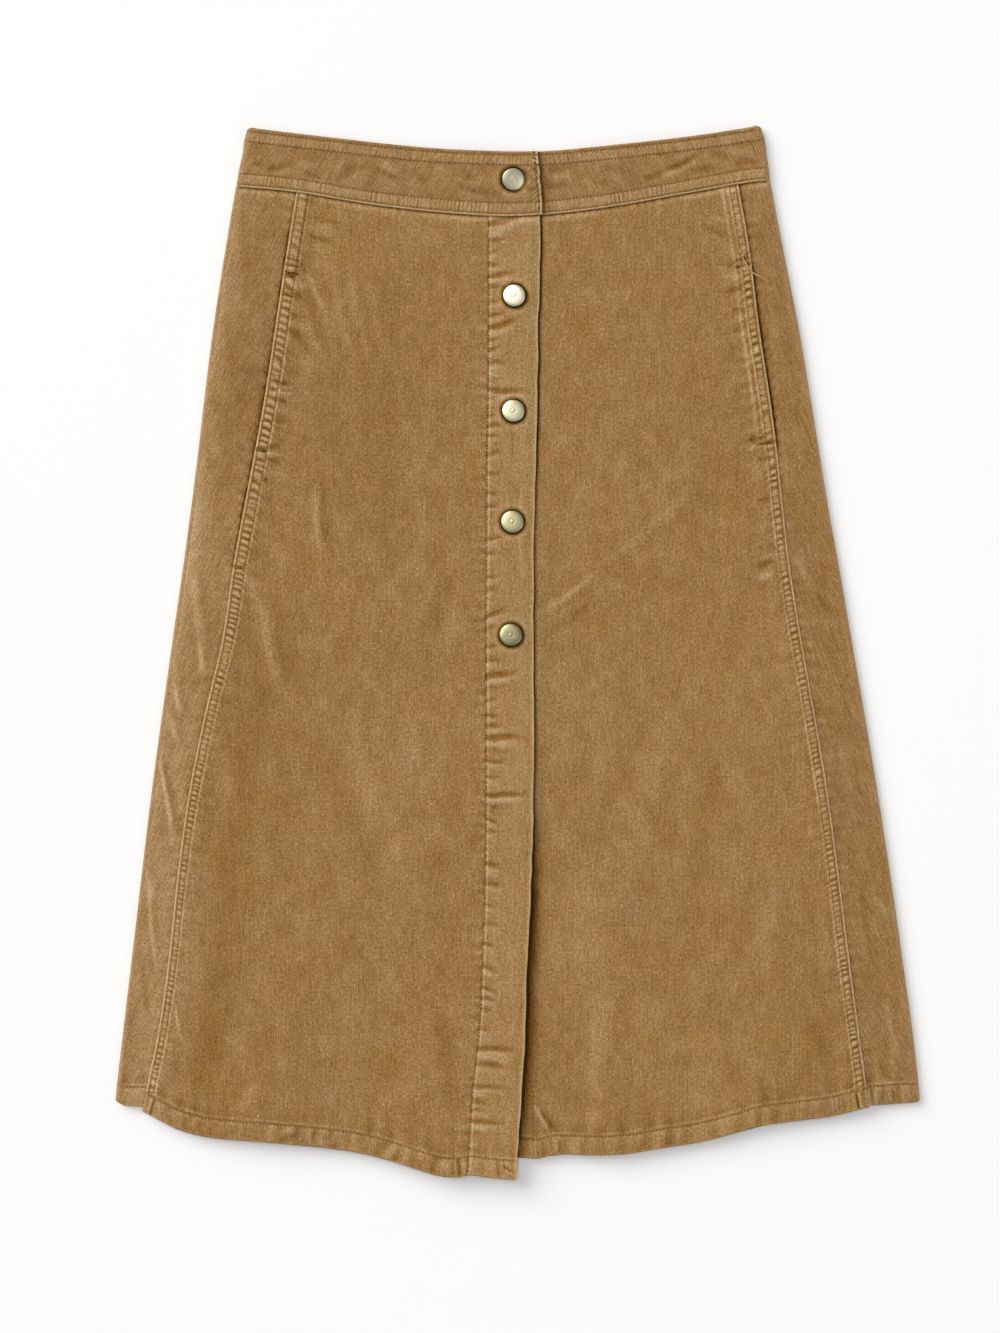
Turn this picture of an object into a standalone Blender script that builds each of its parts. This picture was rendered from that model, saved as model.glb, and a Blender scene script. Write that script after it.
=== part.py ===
# A-line corduroy skirt with a snap front, laid flat on its back.
# Lengths are in millimetres here and become metres where a mesh is made.
# +X is the viewer's right, +Y runs towards the waist, +Z is up; the origin is under the middle.
# "right" and "left" are the wearer's: the right half lies at -X and laps over the left half.

from bisect import bisect_right
from math import cos, hypot, pi, sin

import bmesh
import bpy

MM = 0.001

# Cloth and seams
WALL = 1.2  # one layer of corduroy
BAND_WALL = 2.6  # the waistband: two layers and the seam allowance between them
BAG_WALL = 1.0  # one layer of pocket cotton
GAP = 0.3  # air between any two pieces
HEM_DEPTH = 15.0  # cloth turned up inside the hem
HEM_STEP = 1.0
ALLOWANCE = 9.0  # side panel under the front panel's stitched edge
ALLOWANCE_RUN = 4.0
SEAM_BULK_FROM = -258.0  # towards the hem the seams stand higher, over the turned-up cloth
SEAM_BULK_RUN = 36.0
EDGE_ROUND = 0.5  # how far a folded edge draws in on each face

# Heights above the surface it lies on
FOLD_HEIGHT = 6.0  # at the side folds, where the cloth turns round to the back
CROWN = 1.6  # air that lifts the front between its sides
CROWN_RUN = 80.0
UNDER_HEIGHT = 5.6  # outer face of the left placket, pressed down under the right one
PLACKET_GAP = 2.3  # between the two plackets, filled by the snaps
PLACKET_RUN = 62.0  # how far the front ramps up to the placket
PLACKET_MARGIN = 4.0  # flat cloth beside the left placket before that ramp
PLACKET_GAPE = 2.2  # extra lift of the right placket's unsnapped end
PLACKET_GAPE_FROM = -95.0
PLACKET_GAPE_RUN = 190.0
BAND_PROUD = 1.0  # the waistband stands this much above the panels
HEM_LIFT = 3.0
HEM_LIFT_RUN = 170.0
POCKET_LIP = 1.3  # how far a pocket's edge stands off the side panel
POCKET_LIP_RUN = 16.0
SWELL_FADE = 10.0  # how far from a side fold the folds of the front have faded out
UNDER_LAP = 1.0  # from the right placket's seam to the left placket's hidden edge

# Where a column of points meets an edge that runs across
WAIST_LEVEL = 325.0
CROSSING_STEPS = 8

# Mesh density: rows down a panel and columns across each part
FIELD_ROWS = 21
FRONT_COLUMNS = 8
FRONT_FIELD_START = 0.18  # share of a front panel's width at which its even columns start
SIDE_COLUMNS = 2
SIDE_FIELD_START = 0.6
SIDE_BACK_COLUMNS = 3
BACK_COLUMNS = 10
PLACKET_COLUMNS = 3
BAND_COLUMNS = 12
BAND_BACK_COLUMNS = 8
BAG_ROWS = 9
BAG_COLUMNS = 5
BAG_TURN_STEPS = 3
HALF_TURN_STEPS = 5
SNAP_STEPS = 24

# Widths from the waist seam to the hem, one row for each level
SECTION_COLUMNS = (
    "y",
    "right_fold",
    "right_seam",
    "placket_seam",
    "placket_edge",
    "under_seam",
    "left_seam",
    "left_fold",
)
SECTIONS = (
    (330.0, -196.6, -153.5, -21.0, 15.0, 13.0, 153.5, 176.2),
    (281.0, -204.8, -161.5, -21.0, 15.3, 13.0, 162.0, 185.6),
    (225.0, -213.4, -170.0, -21.0, 14.2, 12.5, 169.0, 196.6),
    (176.0, -219.6, -177.5, -21.5, 13.6, 12.0, 176.5, 204.8),
    (138.0, -224.0, -184.5, -22.0, 12.6, 11.5, 181.5, 211.0),
    (96.0, -229.3, -192.5, -22.4, 11.7, 11.0, 186.0, 217.9),
    (61.0, -234.1, -199.0, -22.5, 11.2, 10.5, 190.0, 224.3),
    (8.0, -241.7, -207.0, -22.8, 10.8, 10.0, 198.5, 233.4),
    (-48.0, -249.6, -220.0, -22.8, 11.2, 10.0, 208.5, 243.1),
    (-104.0, -257.1, -231.0, -22.8, 11.0, 10.0, 217.5, 252.4),
    (-160.0, -263.8, -238.5, -23.5, 9.4, 10.0, 225.0, 261.0),
    (-216.0, -270.4, -244.5, -25.1, 6.6, 10.0, 232.0, 269.0),
    (-265.0, -276.2, -251.5, -27.6, 5.0, 10.0, 238.5, 275.9),
    (-307.0, -281.0, -260.0, -32.0, 2.5, 10.5, 244.0, 280.6),
    (-356.0, -285.0, -268.5, -35.2, -0.3, 11.0, 249.5, 284.5),
)

# Edges that run across, from the viewer's left to the viewer's right, as (x, y)
TOP_EDGE = (
    (-189.0, 366.8), (-141.0, 361.0), (-75.0, 353.6), (-34.0, 350.8), (14.0, 350.1),
    (67.0, 354.6), (120.0, 360.6), (170.0, 368.2),
)
WAIST_SEAM = (
    (-197.0, 325.6), (-155.0, 321.4), (-101.5, 312.6), (-47.5, 306.6), (-1.5, 304.6),
    (57.0, 310.0), (120.5, 321.0), (161.0, 328.2), (176.5, 329.8),
)
RIGHT_SIDE_HEM = ((-281.4, -314.8), (-277.4, -317.0), (-264.6, -317.8), (-252.0, -318.0))
RIGHT_FRONT_HEM = (
    (-264.0, -320.4), (-246.0, -330.0), (-238.0, -334.0), (-218.0, -339.2), (-175.0, -343.0),
    (-125.0, -348.0), (-99.0, -353.0), (-78.0, -359.2), (-56.0, -366.0), (-42.0, -367.0), (-34.0, -365.6),
    (-20.0, -367.4), (-3.0, -368.9),
)
LEFT_FRONT_HEM = (
    (-24.0, -353.0), (0.7, -353.6), (14.0, -354.2), (25.0, -351.4), (56.0, -352.0), (78.0, -350.7),
    (100.0, -347.0), (127.0, -342.8), (155.0, -335.6), (167.0, -331.8), (192.0, -328.2),
    (220.0, -324.6), (239.0, -319.8), (250.0, -317.2),
)
LEFT_SIDE_HEM = ((236.0, -318.2), (250.0, -317.0), (281.4, -315.0))
BACK_HEM = (
    (-281.4, -314.4), (-262.0, -316.0), (-200.0, -328.0), (-100.0, -338.0), (0.0, -342.0),
    (100.0, -336.0), (200.0, -322.5), (255.0, -315.6), (281.4, -315.0),
)
BAND_END_COLUMNS = ("y", "x")
BAND_END = ((350.0, 14.0), (332.0, 15.3), (305.0, 17.4))  # free edge of the upper band end
BAND_SIDES_COLUMNS = ("y", "right", "left")
BAND_SIDES = (
    (367.5, -189.0, 169.8),
    (356.0, -191.8, 173.0),
    (349.0, -192.6, 173.8),
    (337.0, -195.2, 175.5),
    (326.0, -197.0, 176.6),
)

# Largest folds of the front, each a ridge or a trough along a line:
# half, x0, y0, x1, y1, half width, height
SWELLS = (
    ("left", 8.0, 24.0, 58.0, 64.0, 17.0, 0.9),
    ("left", 58.0, 64.0, 128.0, 128.0, 22.0, 0.8),
    ("left", 10.0, -318.0, 24.0, -340.0, 9.0, -1.3),
    ("left", 26.0, -180.0, 20.0, -300.0, 20.0, -1.6),
    ("left", 62.0, -290.0, 60.0, -352.0, 26.0, 1.5),
    ("left", 168.0, -280.0, 176.0, -330.0, 24.0, 1.2),
    ("left", 118.0, -270.0, 122.0, -345.0, 22.0, -1.0),
    ("left", 150.0, 190.0, 160.0, 60.0, 26.0, 0.9),
    ("right", -66.0, -150.0, -70.0, -360.0, 34.0, 1.8),
    ("right", -170.0, -260.0, -176.0, -343.0, 34.0, 1.6),
    ("right", -122.0, -250.0, -124.0, -348.0, 22.0, -1.2),
    ("right", -136.0, 116.0, -134.0, 60.0, 14.0, 0.8),
    ("right", -238.0, -60.0, -247.0, -128.0, 10.0, -0.8),
    ("right", -257.0, -165.0, -262.0, -235.0, 9.0, 0.7),
    ("right", -110.0, 250.0, -96.0, 80.0, 30.0, 0.9),
)

# Pockets in the two front seams
POCKET_TOP = 274.0
POCKET_END = 138.0
BAG_SHAPE_COLUMNS = ("y", "reach")
BAG_SHAPE = ((314.0, 60.0), (250.0, 88.0), (170.0, 97.0), (110.0, 88.0), (76.0, 62.0), (62.0, 30.0))
BAG_INSET = 1.5
BAG_EASE = 0.5  # room left above the bag

# Snaps from the waist down, as (x, y)
SNAPS = ((-3.5, 330.4), (-2.5, 249.2), (-3.2, 168.7), (-3.9, 91.0), (-4.9, 11.9))
# Outline of a cap from its seat up, as (radius, height)
CAP_PROFILE = ((7.9, 0.0), (8.6, 0.35), (8.6, 0.85), (8.1, 1.3), (6.2, 1.75), (3.2, 2.05))
CAP_CROWN = 2.15
SOCKET_RADIUS = 6.2
STUD_RADIUS = 5.4
DISC_HEIGHT = 0.7

# Cloth and metal: name, colour (linear), roughness, metallic
MATERIALS = (
    ("camel_corduroy", (0.342, 0.191, 0.072, 1.0), 0.92, 0.0),
    ("pocket_cotton", (0.52, 0.36, 0.19, 1.0), 0.85, 0.0),
    ("antique_brass", (0.43, 0.37, 0.24, 1.0), 0.34, 1.0),
)


def mix(a, b, share):
    return a + (b - a) * share


def ease(share):
    """0 up to 0, 1 from 1, and a smooth rise between."""
    share = min(max(share, 0.0), 1.0)
    return share * share * (3.0 - 2.0 * share)


def smooth_curve(points):
    """A smooth function through (at, value) points, straight past its ends."""
    points = sorted(points)
    ats = [at for at, _ in points]
    values = [value for _, value in points]
    last = len(points) - 1
    slopes = []
    for i in range(len(points)):
        before = max(i - 1, 0)
        after = min(i + 1, last)
        slopes.append((values[after] - values[before]) / (ats[after] - ats[before]))

    def value_at(at):
        if at <= ats[0]:
            return values[0] + slopes[0] * (at - ats[0])
        if at >= ats[last]:
            return values[last] + slopes[last] * (at - ats[last])
        i = bisect_right(ats, at) - 1
        span = ats[i + 1] - ats[i]
        t = (at - ats[i]) / span
        rise = values[i + 1] - values[i]
        start = slopes[i] * span
        end = slopes[i + 1] * span
        return values[i] + t * (start + t * (3 * rise - 2 * start - end + t * (start + end - 2 * rise)))

    return value_at


def column_of(columns, rows, name):
    """One named column of a table, as a smooth function of the table's first column."""
    place = columns.index(name)
    return smooth_curve([(row[0], row[place]) for row in rows])


right_fold = column_of(SECTION_COLUMNS, SECTIONS, "right_fold")
right_seam = column_of(SECTION_COLUMNS, SECTIONS, "right_seam")
placket_seam = column_of(SECTION_COLUMNS, SECTIONS, "placket_seam")
placket_edge = column_of(SECTION_COLUMNS, SECTIONS, "placket_edge")
under_seam = column_of(SECTION_COLUMNS, SECTIONS, "under_seam")
left_seam = column_of(SECTION_COLUMNS, SECTIONS, "left_seam")
left_fold = column_of(SECTION_COLUMNS, SECTIONS, "left_fold")
band_right = column_of(BAND_SIDES_COLUMNS, BAND_SIDES, "right")
band_left = column_of(BAND_SIDES_COLUMNS, BAND_SIDES, "left")
band_end = column_of(BAND_END_COLUMNS, BAND_END, "x")
bag_reach = column_of(BAG_SHAPE_COLUMNS, BAG_SHAPE, "reach")
top_edge = smooth_curve(TOP_EDGE)
waist_seam = smooth_curve(WAIST_SEAM)
right_side_hem = smooth_curve(RIGHT_SIDE_HEM)
right_front_hem = smooth_curve(RIGHT_FRONT_HEM)
left_front_hem = smooth_curve(LEFT_FRONT_HEM)
left_side_hem = smooth_curve(LEFT_SIDE_HEM)
back_hem = smooth_curve(BACK_HEM)


def inward(x, y):
    """How far a point of the front lies inside the nearer side fold."""
    return min(x - right_fold(y), left_fold(y) - x) - FOLD_HEIGHT / 2


def line_distance(x, y, x0, y0, x1, y1):
    along = ((x - x0) * (x1 - x0) + (y - y0) * (y1 - y0)) / ((x1 - x0) ** 2 + (y1 - y0) ** 2)
    along = min(max(along, 0.0), 1.0)
    return hypot(x - mix(x0, x1, along), y - mix(y0, y1, along))


def swells(x, y):
    """Height of the folds at a point, faded out at the side folds."""
    side = "right" if x < placket_seam(y) else "left"
    total = 0.0
    for half, x0, y0, x1, y1, half_width, height in SWELLS:
        if half == side:
            total += height * (1.0 - ease(line_distance(x, y, x0, y0, x1, y1) / half_width))
    return total * ease(inward(x, y) / SWELL_FADE)


def hem_lift(x, y):
    middle_hem = right_front_hem(0.0)
    near_hem = ease(1.0 - (y - middle_hem) / HEM_LIFT_RUN)
    return HEM_LIFT * near_hem * ease(inward(x, y) / CROWN_RUN)


def pocket_open(y):
    """0 at a pocket's two ends and outside it, 1 half way down its slit."""
    share = (POCKET_TOP - y) / (POCKET_TOP - POCKET_END)
    return sin(pi * min(max(share, 0.0), 1.0))


def free_height(x, y):
    """Outer face of the front away from the placket."""
    return FOLD_HEIGHT + CROWN * ease(inward(x, y) / CROWN_RUN) + swells(x, y)


def at_placket(x, y):
    """1 over the plackets, easing to 0 a ramp's length away from them."""
    outside = max(placket_seam(y) - x, x - under_seam(y) - PLACKET_MARGIN, 0.0)
    return 1.0 - ease(outside / PLACKET_RUN)


def under_face(x, y):
    """Outer face of the left half."""
    return mix(free_height(x, y), UNDER_HEIGHT, at_placket(x, y)) + hem_lift(x, y)


def over_face(x, y, layer=2 * WALL):
    """Outer face of the right half, whose front edge lies on the left half."""
    gape = PLACKET_GAPE * ease((PLACKET_GAPE_FROM - y) / PLACKET_GAPE_RUN)
    at_edge = UNDER_HEIGHT + PLACKET_GAP + layer + gape
    return mix(free_height(x, y), at_edge, at_placket(x, y)) + hem_lift(x, y)


def seam_step(from_seam, y):
    """How far a front panel stands above the side panel, by the distance from its edge."""
    bulk = WALL * ease((SEAM_BULK_FROM - y) / SEAM_BULK_RUN)
    lap = (WALL + GAP + bulk) * (1.0 - ease((from_seam - ALLOWANCE) / ALLOWANCE_RUN))
    lip = POCKET_LIP * pocket_open(y) * (1.0 - ease(from_seam / POCKET_LIP_RUN))
    return lap + lip


def right_front_face(x, y):
    return over_face(x, y) + seam_step(x - right_seam(y), y)


def left_front_face(x, y):
    return under_face(x, y) + seam_step(left_seam(y) - x, y)


def new_material(name, colour, roughness, metallic):
    material = bpy.data.materials.new(name)
    material.use_nodes = True
    shader = material.node_tree.nodes["Principled BSDF"]
    shader.inputs["Base Color"].default_value = colour
    shader.inputs["Roughness"].default_value = roughness
    shader.inputs["Metallic"].default_value = metallic
    material.diffuse_color = colour
    return material


def add_object(name, points, faces, material):
    """A mesh object from points in millimetres."""
    mesh = bpy.data.meshes.new(name)
    mesh.from_pydata([(x * MM, y * MM, z * MM) for x, y, z in points], [], faces)
    shape = bmesh.new()
    shape.from_mesh(mesh)
    bmesh.ops.recalc_face_normals(shape, faces=shape.faces)
    shape.to_mesh(mesh)
    shape.free()
    mesh.materials.append(material)
    mesh.shade_smooth()
    mesh.set_sharp_from_angle(angle=pi / 5)
    obj = bpy.data.objects.new(name, mesh)
    bpy.context.scene.collection.objects.link(obj)
    return obj


def panel_rows(top, hem):
    """Levels of a panel from its top to its hem, each with its number of layers and its edge's draw-in."""
    field_end = hem + HEM_DEPTH + HEM_STEP
    rows = [(mix(top, field_end, i / FIELD_ROWS), 1, 0.0) for i in range(FIELD_ROWS + 1)]
    rows.append((hem + HEM_DEPTH, 2, 0.0))
    rows.append((hem + 2 * EDGE_ROUND, 2, 0.0))
    rows.append((hem, 2, EDGE_ROUND))
    return rows


def band_rows(top, bottom):
    """Levels of the waistband, drawn in at its folded top edge and at its folded lower edge."""
    return [
        (top, 1, 2 * EDGE_ROUND),
        (top - 2 * EDGE_ROUND, 1, 0.0),
        (mix(top, bottom, 0.25), 1, 0.0),
        (mix(top, bottom, 0.5), 1, 0.0),
        (mix(top, bottom, 0.75), 1, 0.0),
        (bottom + EDGE_ROUND, 1, 0.0),
        (bottom, 1, EDGE_ROUND),
    ]


def bag_rows(top, bottom):
    return [(mix(top, bottom, i / BAG_ROWS), 1, 0.0) for i in range(BAG_ROWS + 1)]


def cloth_solid(name, columns, rows_of, wall, material):
    """A closed wall. A column is (place, top, bottom, draw-in): place(y, depth) gives the point
    that lies depth under the outer face, and rows_of(top, bottom) gives the column's levels."""
    points = []
    for place, top, bottom, edge in columns:
        for y, layers, drawn in rows_of(top, bottom):
            inset = max(edge, drawn)
            points.append(place(y, inset))
            points.append(place(y, layers * wall - inset))
    levels = len(rows_of(1.0, 0.0))
    last_column = len(columns) - 1
    last_level = levels - 1

    def outer(column, level):
        return 2 * (column * levels + level)

    def inner(column, level):
        return outer(column, level) + 1

    faces = []
    for c in range(last_column):
        for r in range(last_level):
            faces.append((outer(c, r), outer(c, r + 1), outer(c + 1, r + 1), outer(c + 1, r)))
            faces.append((inner(c, r), inner(c + 1, r), inner(c + 1, r + 1), inner(c, r + 1)))
        faces.append((outer(c, 0), outer(c + 1, 0), inner(c + 1, 0), inner(c, 0)))
        faces.append(
            (outer(c, last_level), inner(c, last_level), inner(c + 1, last_level), outer(c + 1, last_level))
        )
    for r in range(last_level):
        faces.append((outer(0, r), inner(0, r), inner(0, r + 1), outer(0, r + 1)))
        faces.append(
            (
                outer(last_column, r),
                outer(last_column, r + 1),
                inner(last_column, r + 1),
                inner(last_column, r),
            )
        )
    return add_object(name, points, faces, material)


def crossing(x_at, edge, near):
    """The level where a column, given as x for each y, meets an edge that runs across."""
    y = near
    for _ in range(CROSSING_STEPS):
        y = edge(x_at(y))
    return y


def level_places(start, end, shares, face, top_of, bottom_of, edges=None):
    """Columns across a part of the front between two edges, which are functions of y."""
    edges = edges or {}
    columns = []
    for share, offset in shares:

        def x_at(y, share=share, offset=offset):
            return mix(start(y), end(y), share) + offset

        def place(y, depth, x_at=x_at):
            x = x_at(y)
            return x, y, face(x, y) - depth

        top = crossing(x_at, top_of, WAIST_LEVEL)
        bottom = crossing(x_at, bottom_of, bottom_of(x_at(WAIST_LEVEL)))
        columns.append((place, top, bottom, edges.get((share, offset), 0.0)))
    return columns


def even_shares(first, last, steps):
    return [(mix(first, last, i / steps), 0.0) for i in range(steps + 1)]


def wrap_places(side, fold, radius, front, back, top_of, bottom_of):
    """Columns from the front edge round a side fold to the back edge; side is -1 at -X, 1 at +X."""
    columns = list(front)
    fold_top = crossing(fold, top_of, WAIST_LEVEL)
    fold_bottom = crossing(fold, bottom_of, bottom_of(fold(WAIST_LEVEL)))
    for i in range(1, HALF_TURN_STEPS):
        angle = pi / 2 - pi * i / HALF_TURN_STEPS

        def place(y, depth, angle=angle):
            reach = radius - depth
            return fold(y) - side * (radius - reach * cos(angle)), y, radius + reach * sin(angle)

        columns.append((place, fold_top, fold_bottom, 0.0))
    columns += back
    return columns if side > 0 else columns[::-1]


def back_places(start, end, steps, top_of, bottom_of):
    """Columns of the layer that lies on the ground: its outer face is the underside."""
    columns = []
    for i in range(steps + 1):

        def x_at(y, share=i / steps):
            return mix(start(y), end(y), share)

        def place(y, depth, x_at=x_at):
            return x_at(y), y, depth

        top = crossing(x_at, top_of, WAIST_LEVEL)
        bottom = crossing(x_at, bottom_of, bottom_of(x_at(WAIST_LEVEL)))
        columns.append((place, top, bottom, 0.0))
    return columns


def below_band(x):
    """Where the panels' upper edges stop, under the waistband's lower edge."""
    return waist_seam(x) - 2 * GAP


def make_side_panel(name, side, material):
    """A panel from under the front seam round the side fold to the back seam."""
    fold = left_fold if side > 0 else right_fold
    seam = left_seam if side > 0 else right_seam
    face = under_face if side > 0 else over_face
    side_hem = left_side_hem if side > 0 else right_side_hem
    radius = FOLD_HEIGHT / 2

    def tucked_edge(y):
        return seam(y) - side * (ALLOWANCE - GAP)

    def flat_start(y):
        return fold(y) - side * radius

    def back_seam(y):
        return seam(y) + side * GAP / 2

    shares = [(0.0, 0.0), (0.0, side * ALLOWANCE), (0.0, side * (ALLOWANCE + ALLOWANCE_RUN))]
    shares += even_shares(SIDE_FIELD_START, 1.0, SIDE_COLUMNS)
    front = level_places(tucked_edge, flat_start, shares, face, below_band, side_hem)
    back = back_places(flat_start, back_seam, SIDE_BACK_COLUMNS, below_band, back_hem)
    columns = wrap_places(side, fold, radius, front, back, below_band, side_hem)
    return cloth_solid(name, columns, panel_rows, WALL, material)


def make_front_right(material):
    def inner_edge(y):
        return placket_seam(y) - GAP

    edge = EDGE_ROUND
    shares = [(0.0, 0.0), (0.0, 2 * edge), (0.0, ALLOWANCE), (0.0, ALLOWANCE + ALLOWANCE_RUN)]
    shares += even_shares(FRONT_FIELD_START, 1.0, FRONT_COLUMNS)
    columns = level_places(
        right_seam, inner_edge, shares, right_front_face, below_band, right_front_hem, {(0.0, 0.0): edge}
    )
    return cloth_solid("front_right", columns, panel_rows, WALL, material)


def make_front_left(material):
    def inner_edge(y):
        return under_seam(y) + GAP

    edge = EDGE_ROUND
    shares = even_shares(0.0, 1.0 - FRONT_FIELD_START, FRONT_COLUMNS)
    shares += [(1.0, -ALLOWANCE - ALLOWANCE_RUN), (1.0, -ALLOWANCE), (1.0, -2 * edge), (1.0, 0.0)]
    columns = level_places(
        inner_edge, left_seam, shares, left_front_face, below_band, left_front_hem, {(1.0, 0.0): edge}
    )
    return cloth_solid("front_left", columns, panel_rows, WALL, material)


def placket_rows(top, hem):
    """A placket is cloth folded double all the way down."""
    return [(y, 2, drawn) for y, _, drawn in panel_rows(top, hem)]


def make_placket(name, start, end, face, hem, free_end, material):
    """A doubled strip along the front opening, with a folded free edge at share free_end."""
    shares = even_shares(0.0, 1.0, PLACKET_COLUMNS)
    if free_end == 0.0:
        shares.insert(1, (free_end, 2 * EDGE_ROUND))
    else:
        shares.insert(-1, (free_end, -2 * EDGE_ROUND))
    columns = level_places(start, end, shares, face, below_band, hem, {(free_end, 0.0): EDGE_ROUND})
    return cloth_solid(name, columns, placket_rows, WALL, material)


def under_edge(y):
    """Free edge of the left placket, hidden under the right one."""
    return placket_seam(y) + UNDER_LAP


def make_back(material):
    def right_edge(y):
        return right_seam(y) + GAP / 2

    def left_edge(y):
        return left_seam(y) - GAP / 2

    columns = back_places(left_edge, right_edge, BACK_COLUMNS, below_band, back_hem)
    return cloth_solid("back", columns, panel_rows, WALL, material)


def band_face_over(x, y):
    return over_face(x, y, BAND_WALL) + BAND_PROUD


def band_face_under(x, y):
    return under_face(x, y) + BAND_PROUD


def centre_back(side):
    return lambda y: side * GAP / 2


def make_waistband(name, side, front_edge, face, material):
    """Half of the waistband: from the front opening round the side to the centre back."""
    fold = band_left if side > 0 else band_right
    radius = (FOLD_HEIGHT + BAND_PROUD) / 2

    def flat_start(y):
        return fold(y) - side * radius

    shares = even_shares(0.0, 1.0, BAND_COLUMNS)
    shares.insert(1, (0.0, side * 2 * EDGE_ROUND))
    front = level_places(
        front_edge, flat_start, shares, face, top_edge, waist_seam, {(0.0, 0.0): EDGE_ROUND}
    )
    back = back_places(flat_start, centre_back(side), BAND_BACK_COLUMNS, top_edge, waist_seam)
    columns = wrap_places(side, fold, radius, front, back, top_edge, waist_seam)
    return cloth_solid(name, columns, band_rows, BAND_WALL, material)


def make_pocket_bag(name, side, material):
    """A folded bag under the front panel, open towards the slit in the seam."""
    seam = left_seam if side > 0 else right_seam
    face = under_face if side > 0 else over_face
    radius = BAG_WALL + GAP / 2

    def open_edge(y):
        return seam(y) - side * BAG_INSET

    def turn_start(y):
        return open_edge(y) - side * (bag_reach(y) - radius)

    def upper(x, y):
        return face(x, y) - WALL - GAP - BAG_EASE

    def column(share, layer_face):
        def place(y, depth):
            x = mix(open_edge(y), turn_start(y), share)
            return x, y, layer_face(x, y, depth)

        return place, BAG_SHAPE[0][0], BAG_SHAPE[-1][0], 0.0

    shares = [i / BAG_COLUMNS for i in range(BAG_COLUMNS + 1)]
    columns = [column(share, lambda x, y, depth: upper(x, y) - depth) for share in shares]
    for i in range(1, BAG_TURN_STEPS):
        angle = pi / 2 - pi * i / BAG_TURN_STEPS

        def place(y, depth, angle=angle):
            reach = radius - depth
            x = turn_start(y)
            return x - side * reach * cos(angle), y, upper(x, y) - radius + reach * sin(angle)

        columns.append((place, BAG_SHAPE[0][0], BAG_SHAPE[-1][0], 0.0))
    columns += [
        column(share, lambda x, y, depth: upper(x, y) - 2 * radius + depth) for share in reversed(shares)
    ]
    return cloth_solid(name, columns, bag_rows, BAG_WALL, material)


def turned_solid(name, profile, crown, base, material):
    """A disc turned about a vertical axis from a (radius, height) profile, bottom to top.
    base is the middle of its underside; crown closes the top, or is None for a flat top."""
    x0, y0, z0 = base
    steps = SNAP_STEPS
    points = []
    for radius, height in profile:
        for i in range(steps):
            angle = 2 * pi * i / steps
            points.append((x0 + radius * cos(angle), y0 + radius * sin(angle), z0 + height))
    faces = [tuple(range(steps))[::-1]]
    for ring in range(len(profile) - 1):
        for i in range(steps):
            a = ring * steps + i
            b = ring * steps + (i + 1) % steps
            faces.append((a, b, b + steps, a + steps))
    top = (len(profile) - 1) * steps
    if crown is None:
        faces.append(tuple(range(top, top + steps)))
    else:
        points.append((x0, y0, z0 + crown))
        faces += [(top + i, top + (i + 1) % steps, len(points) - 1) for i in range(steps)]
    return add_object(name, points, faces, material)


def make_snap(number, x, y, material):
    """A closed snap: the cap on the right side, and a socket and a stud between the two layers."""
    in_band = y > waist_seam(x)
    over = band_face_over if in_band else over_face
    under = band_face_under if in_band else under_face
    over_layer = BAND_WALL if in_band else 2 * WALL
    reach = CAP_PROFILE[1][0]
    footprint = [(x, y), (x, y - reach), (x, y + reach), (x - reach, y), (x + reach, y)]
    seat = max(over(px, py) for px, py in footprint) + GAP
    turned_solid(f"snap_cap_{number}", CAP_PROFILE, CAP_CROWN, (x, y, seat), material)
    ceiling = min(over(px, py) for px, py in footprint) - over_layer - GAP
    floor = max(under(px, py) for px, py in footprint) + GAP
    for part, radius, bottom in (
        ("socket", SOCKET_RADIUS, ceiling - DISC_HEIGHT),
        ("stud", STUD_RADIUS, floor),
    ):
        disc = ((radius, 0.0), (radius, DISC_HEIGHT))
        turned_solid(f"snap_{part}_{number}", disc, None, (x, y, bottom), material)


def clear_scene():
    for obj in list(bpy.data.objects):
        bpy.data.objects.remove(obj, do_unlink=True)


def make_skirt():
    corduroy, cotton, brass = [new_material(*row) for row in MATERIALS]
    make_side_panel("side_right", -1, corduroy)
    make_side_panel("side_left", 1, corduroy)
    make_back(corduroy)
    make_front_right(corduroy)
    make_front_left(corduroy)
    make_placket("placket_right", placket_seam, placket_edge, over_face, right_front_hem, 1.0, corduroy)
    make_placket("placket_left", under_edge, under_seam, under_face, left_front_hem, 0.0, corduroy)
    make_waistband("waistband_right", -1, band_end, band_face_over, corduroy)
    make_waistband("waistband_left", 1, under_edge, band_face_under, corduroy)
    make_pocket_bag("pocket_bag_right", -1, cotton)
    make_pocket_bag("pocket_bag_left", 1, cotton)
    for number, (x, y) in enumerate(SNAPS, start=1):
        make_snap(number, x, y, brass)


clear_scene()
make_skirt()
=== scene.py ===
from math import cos, pi, sin

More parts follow.
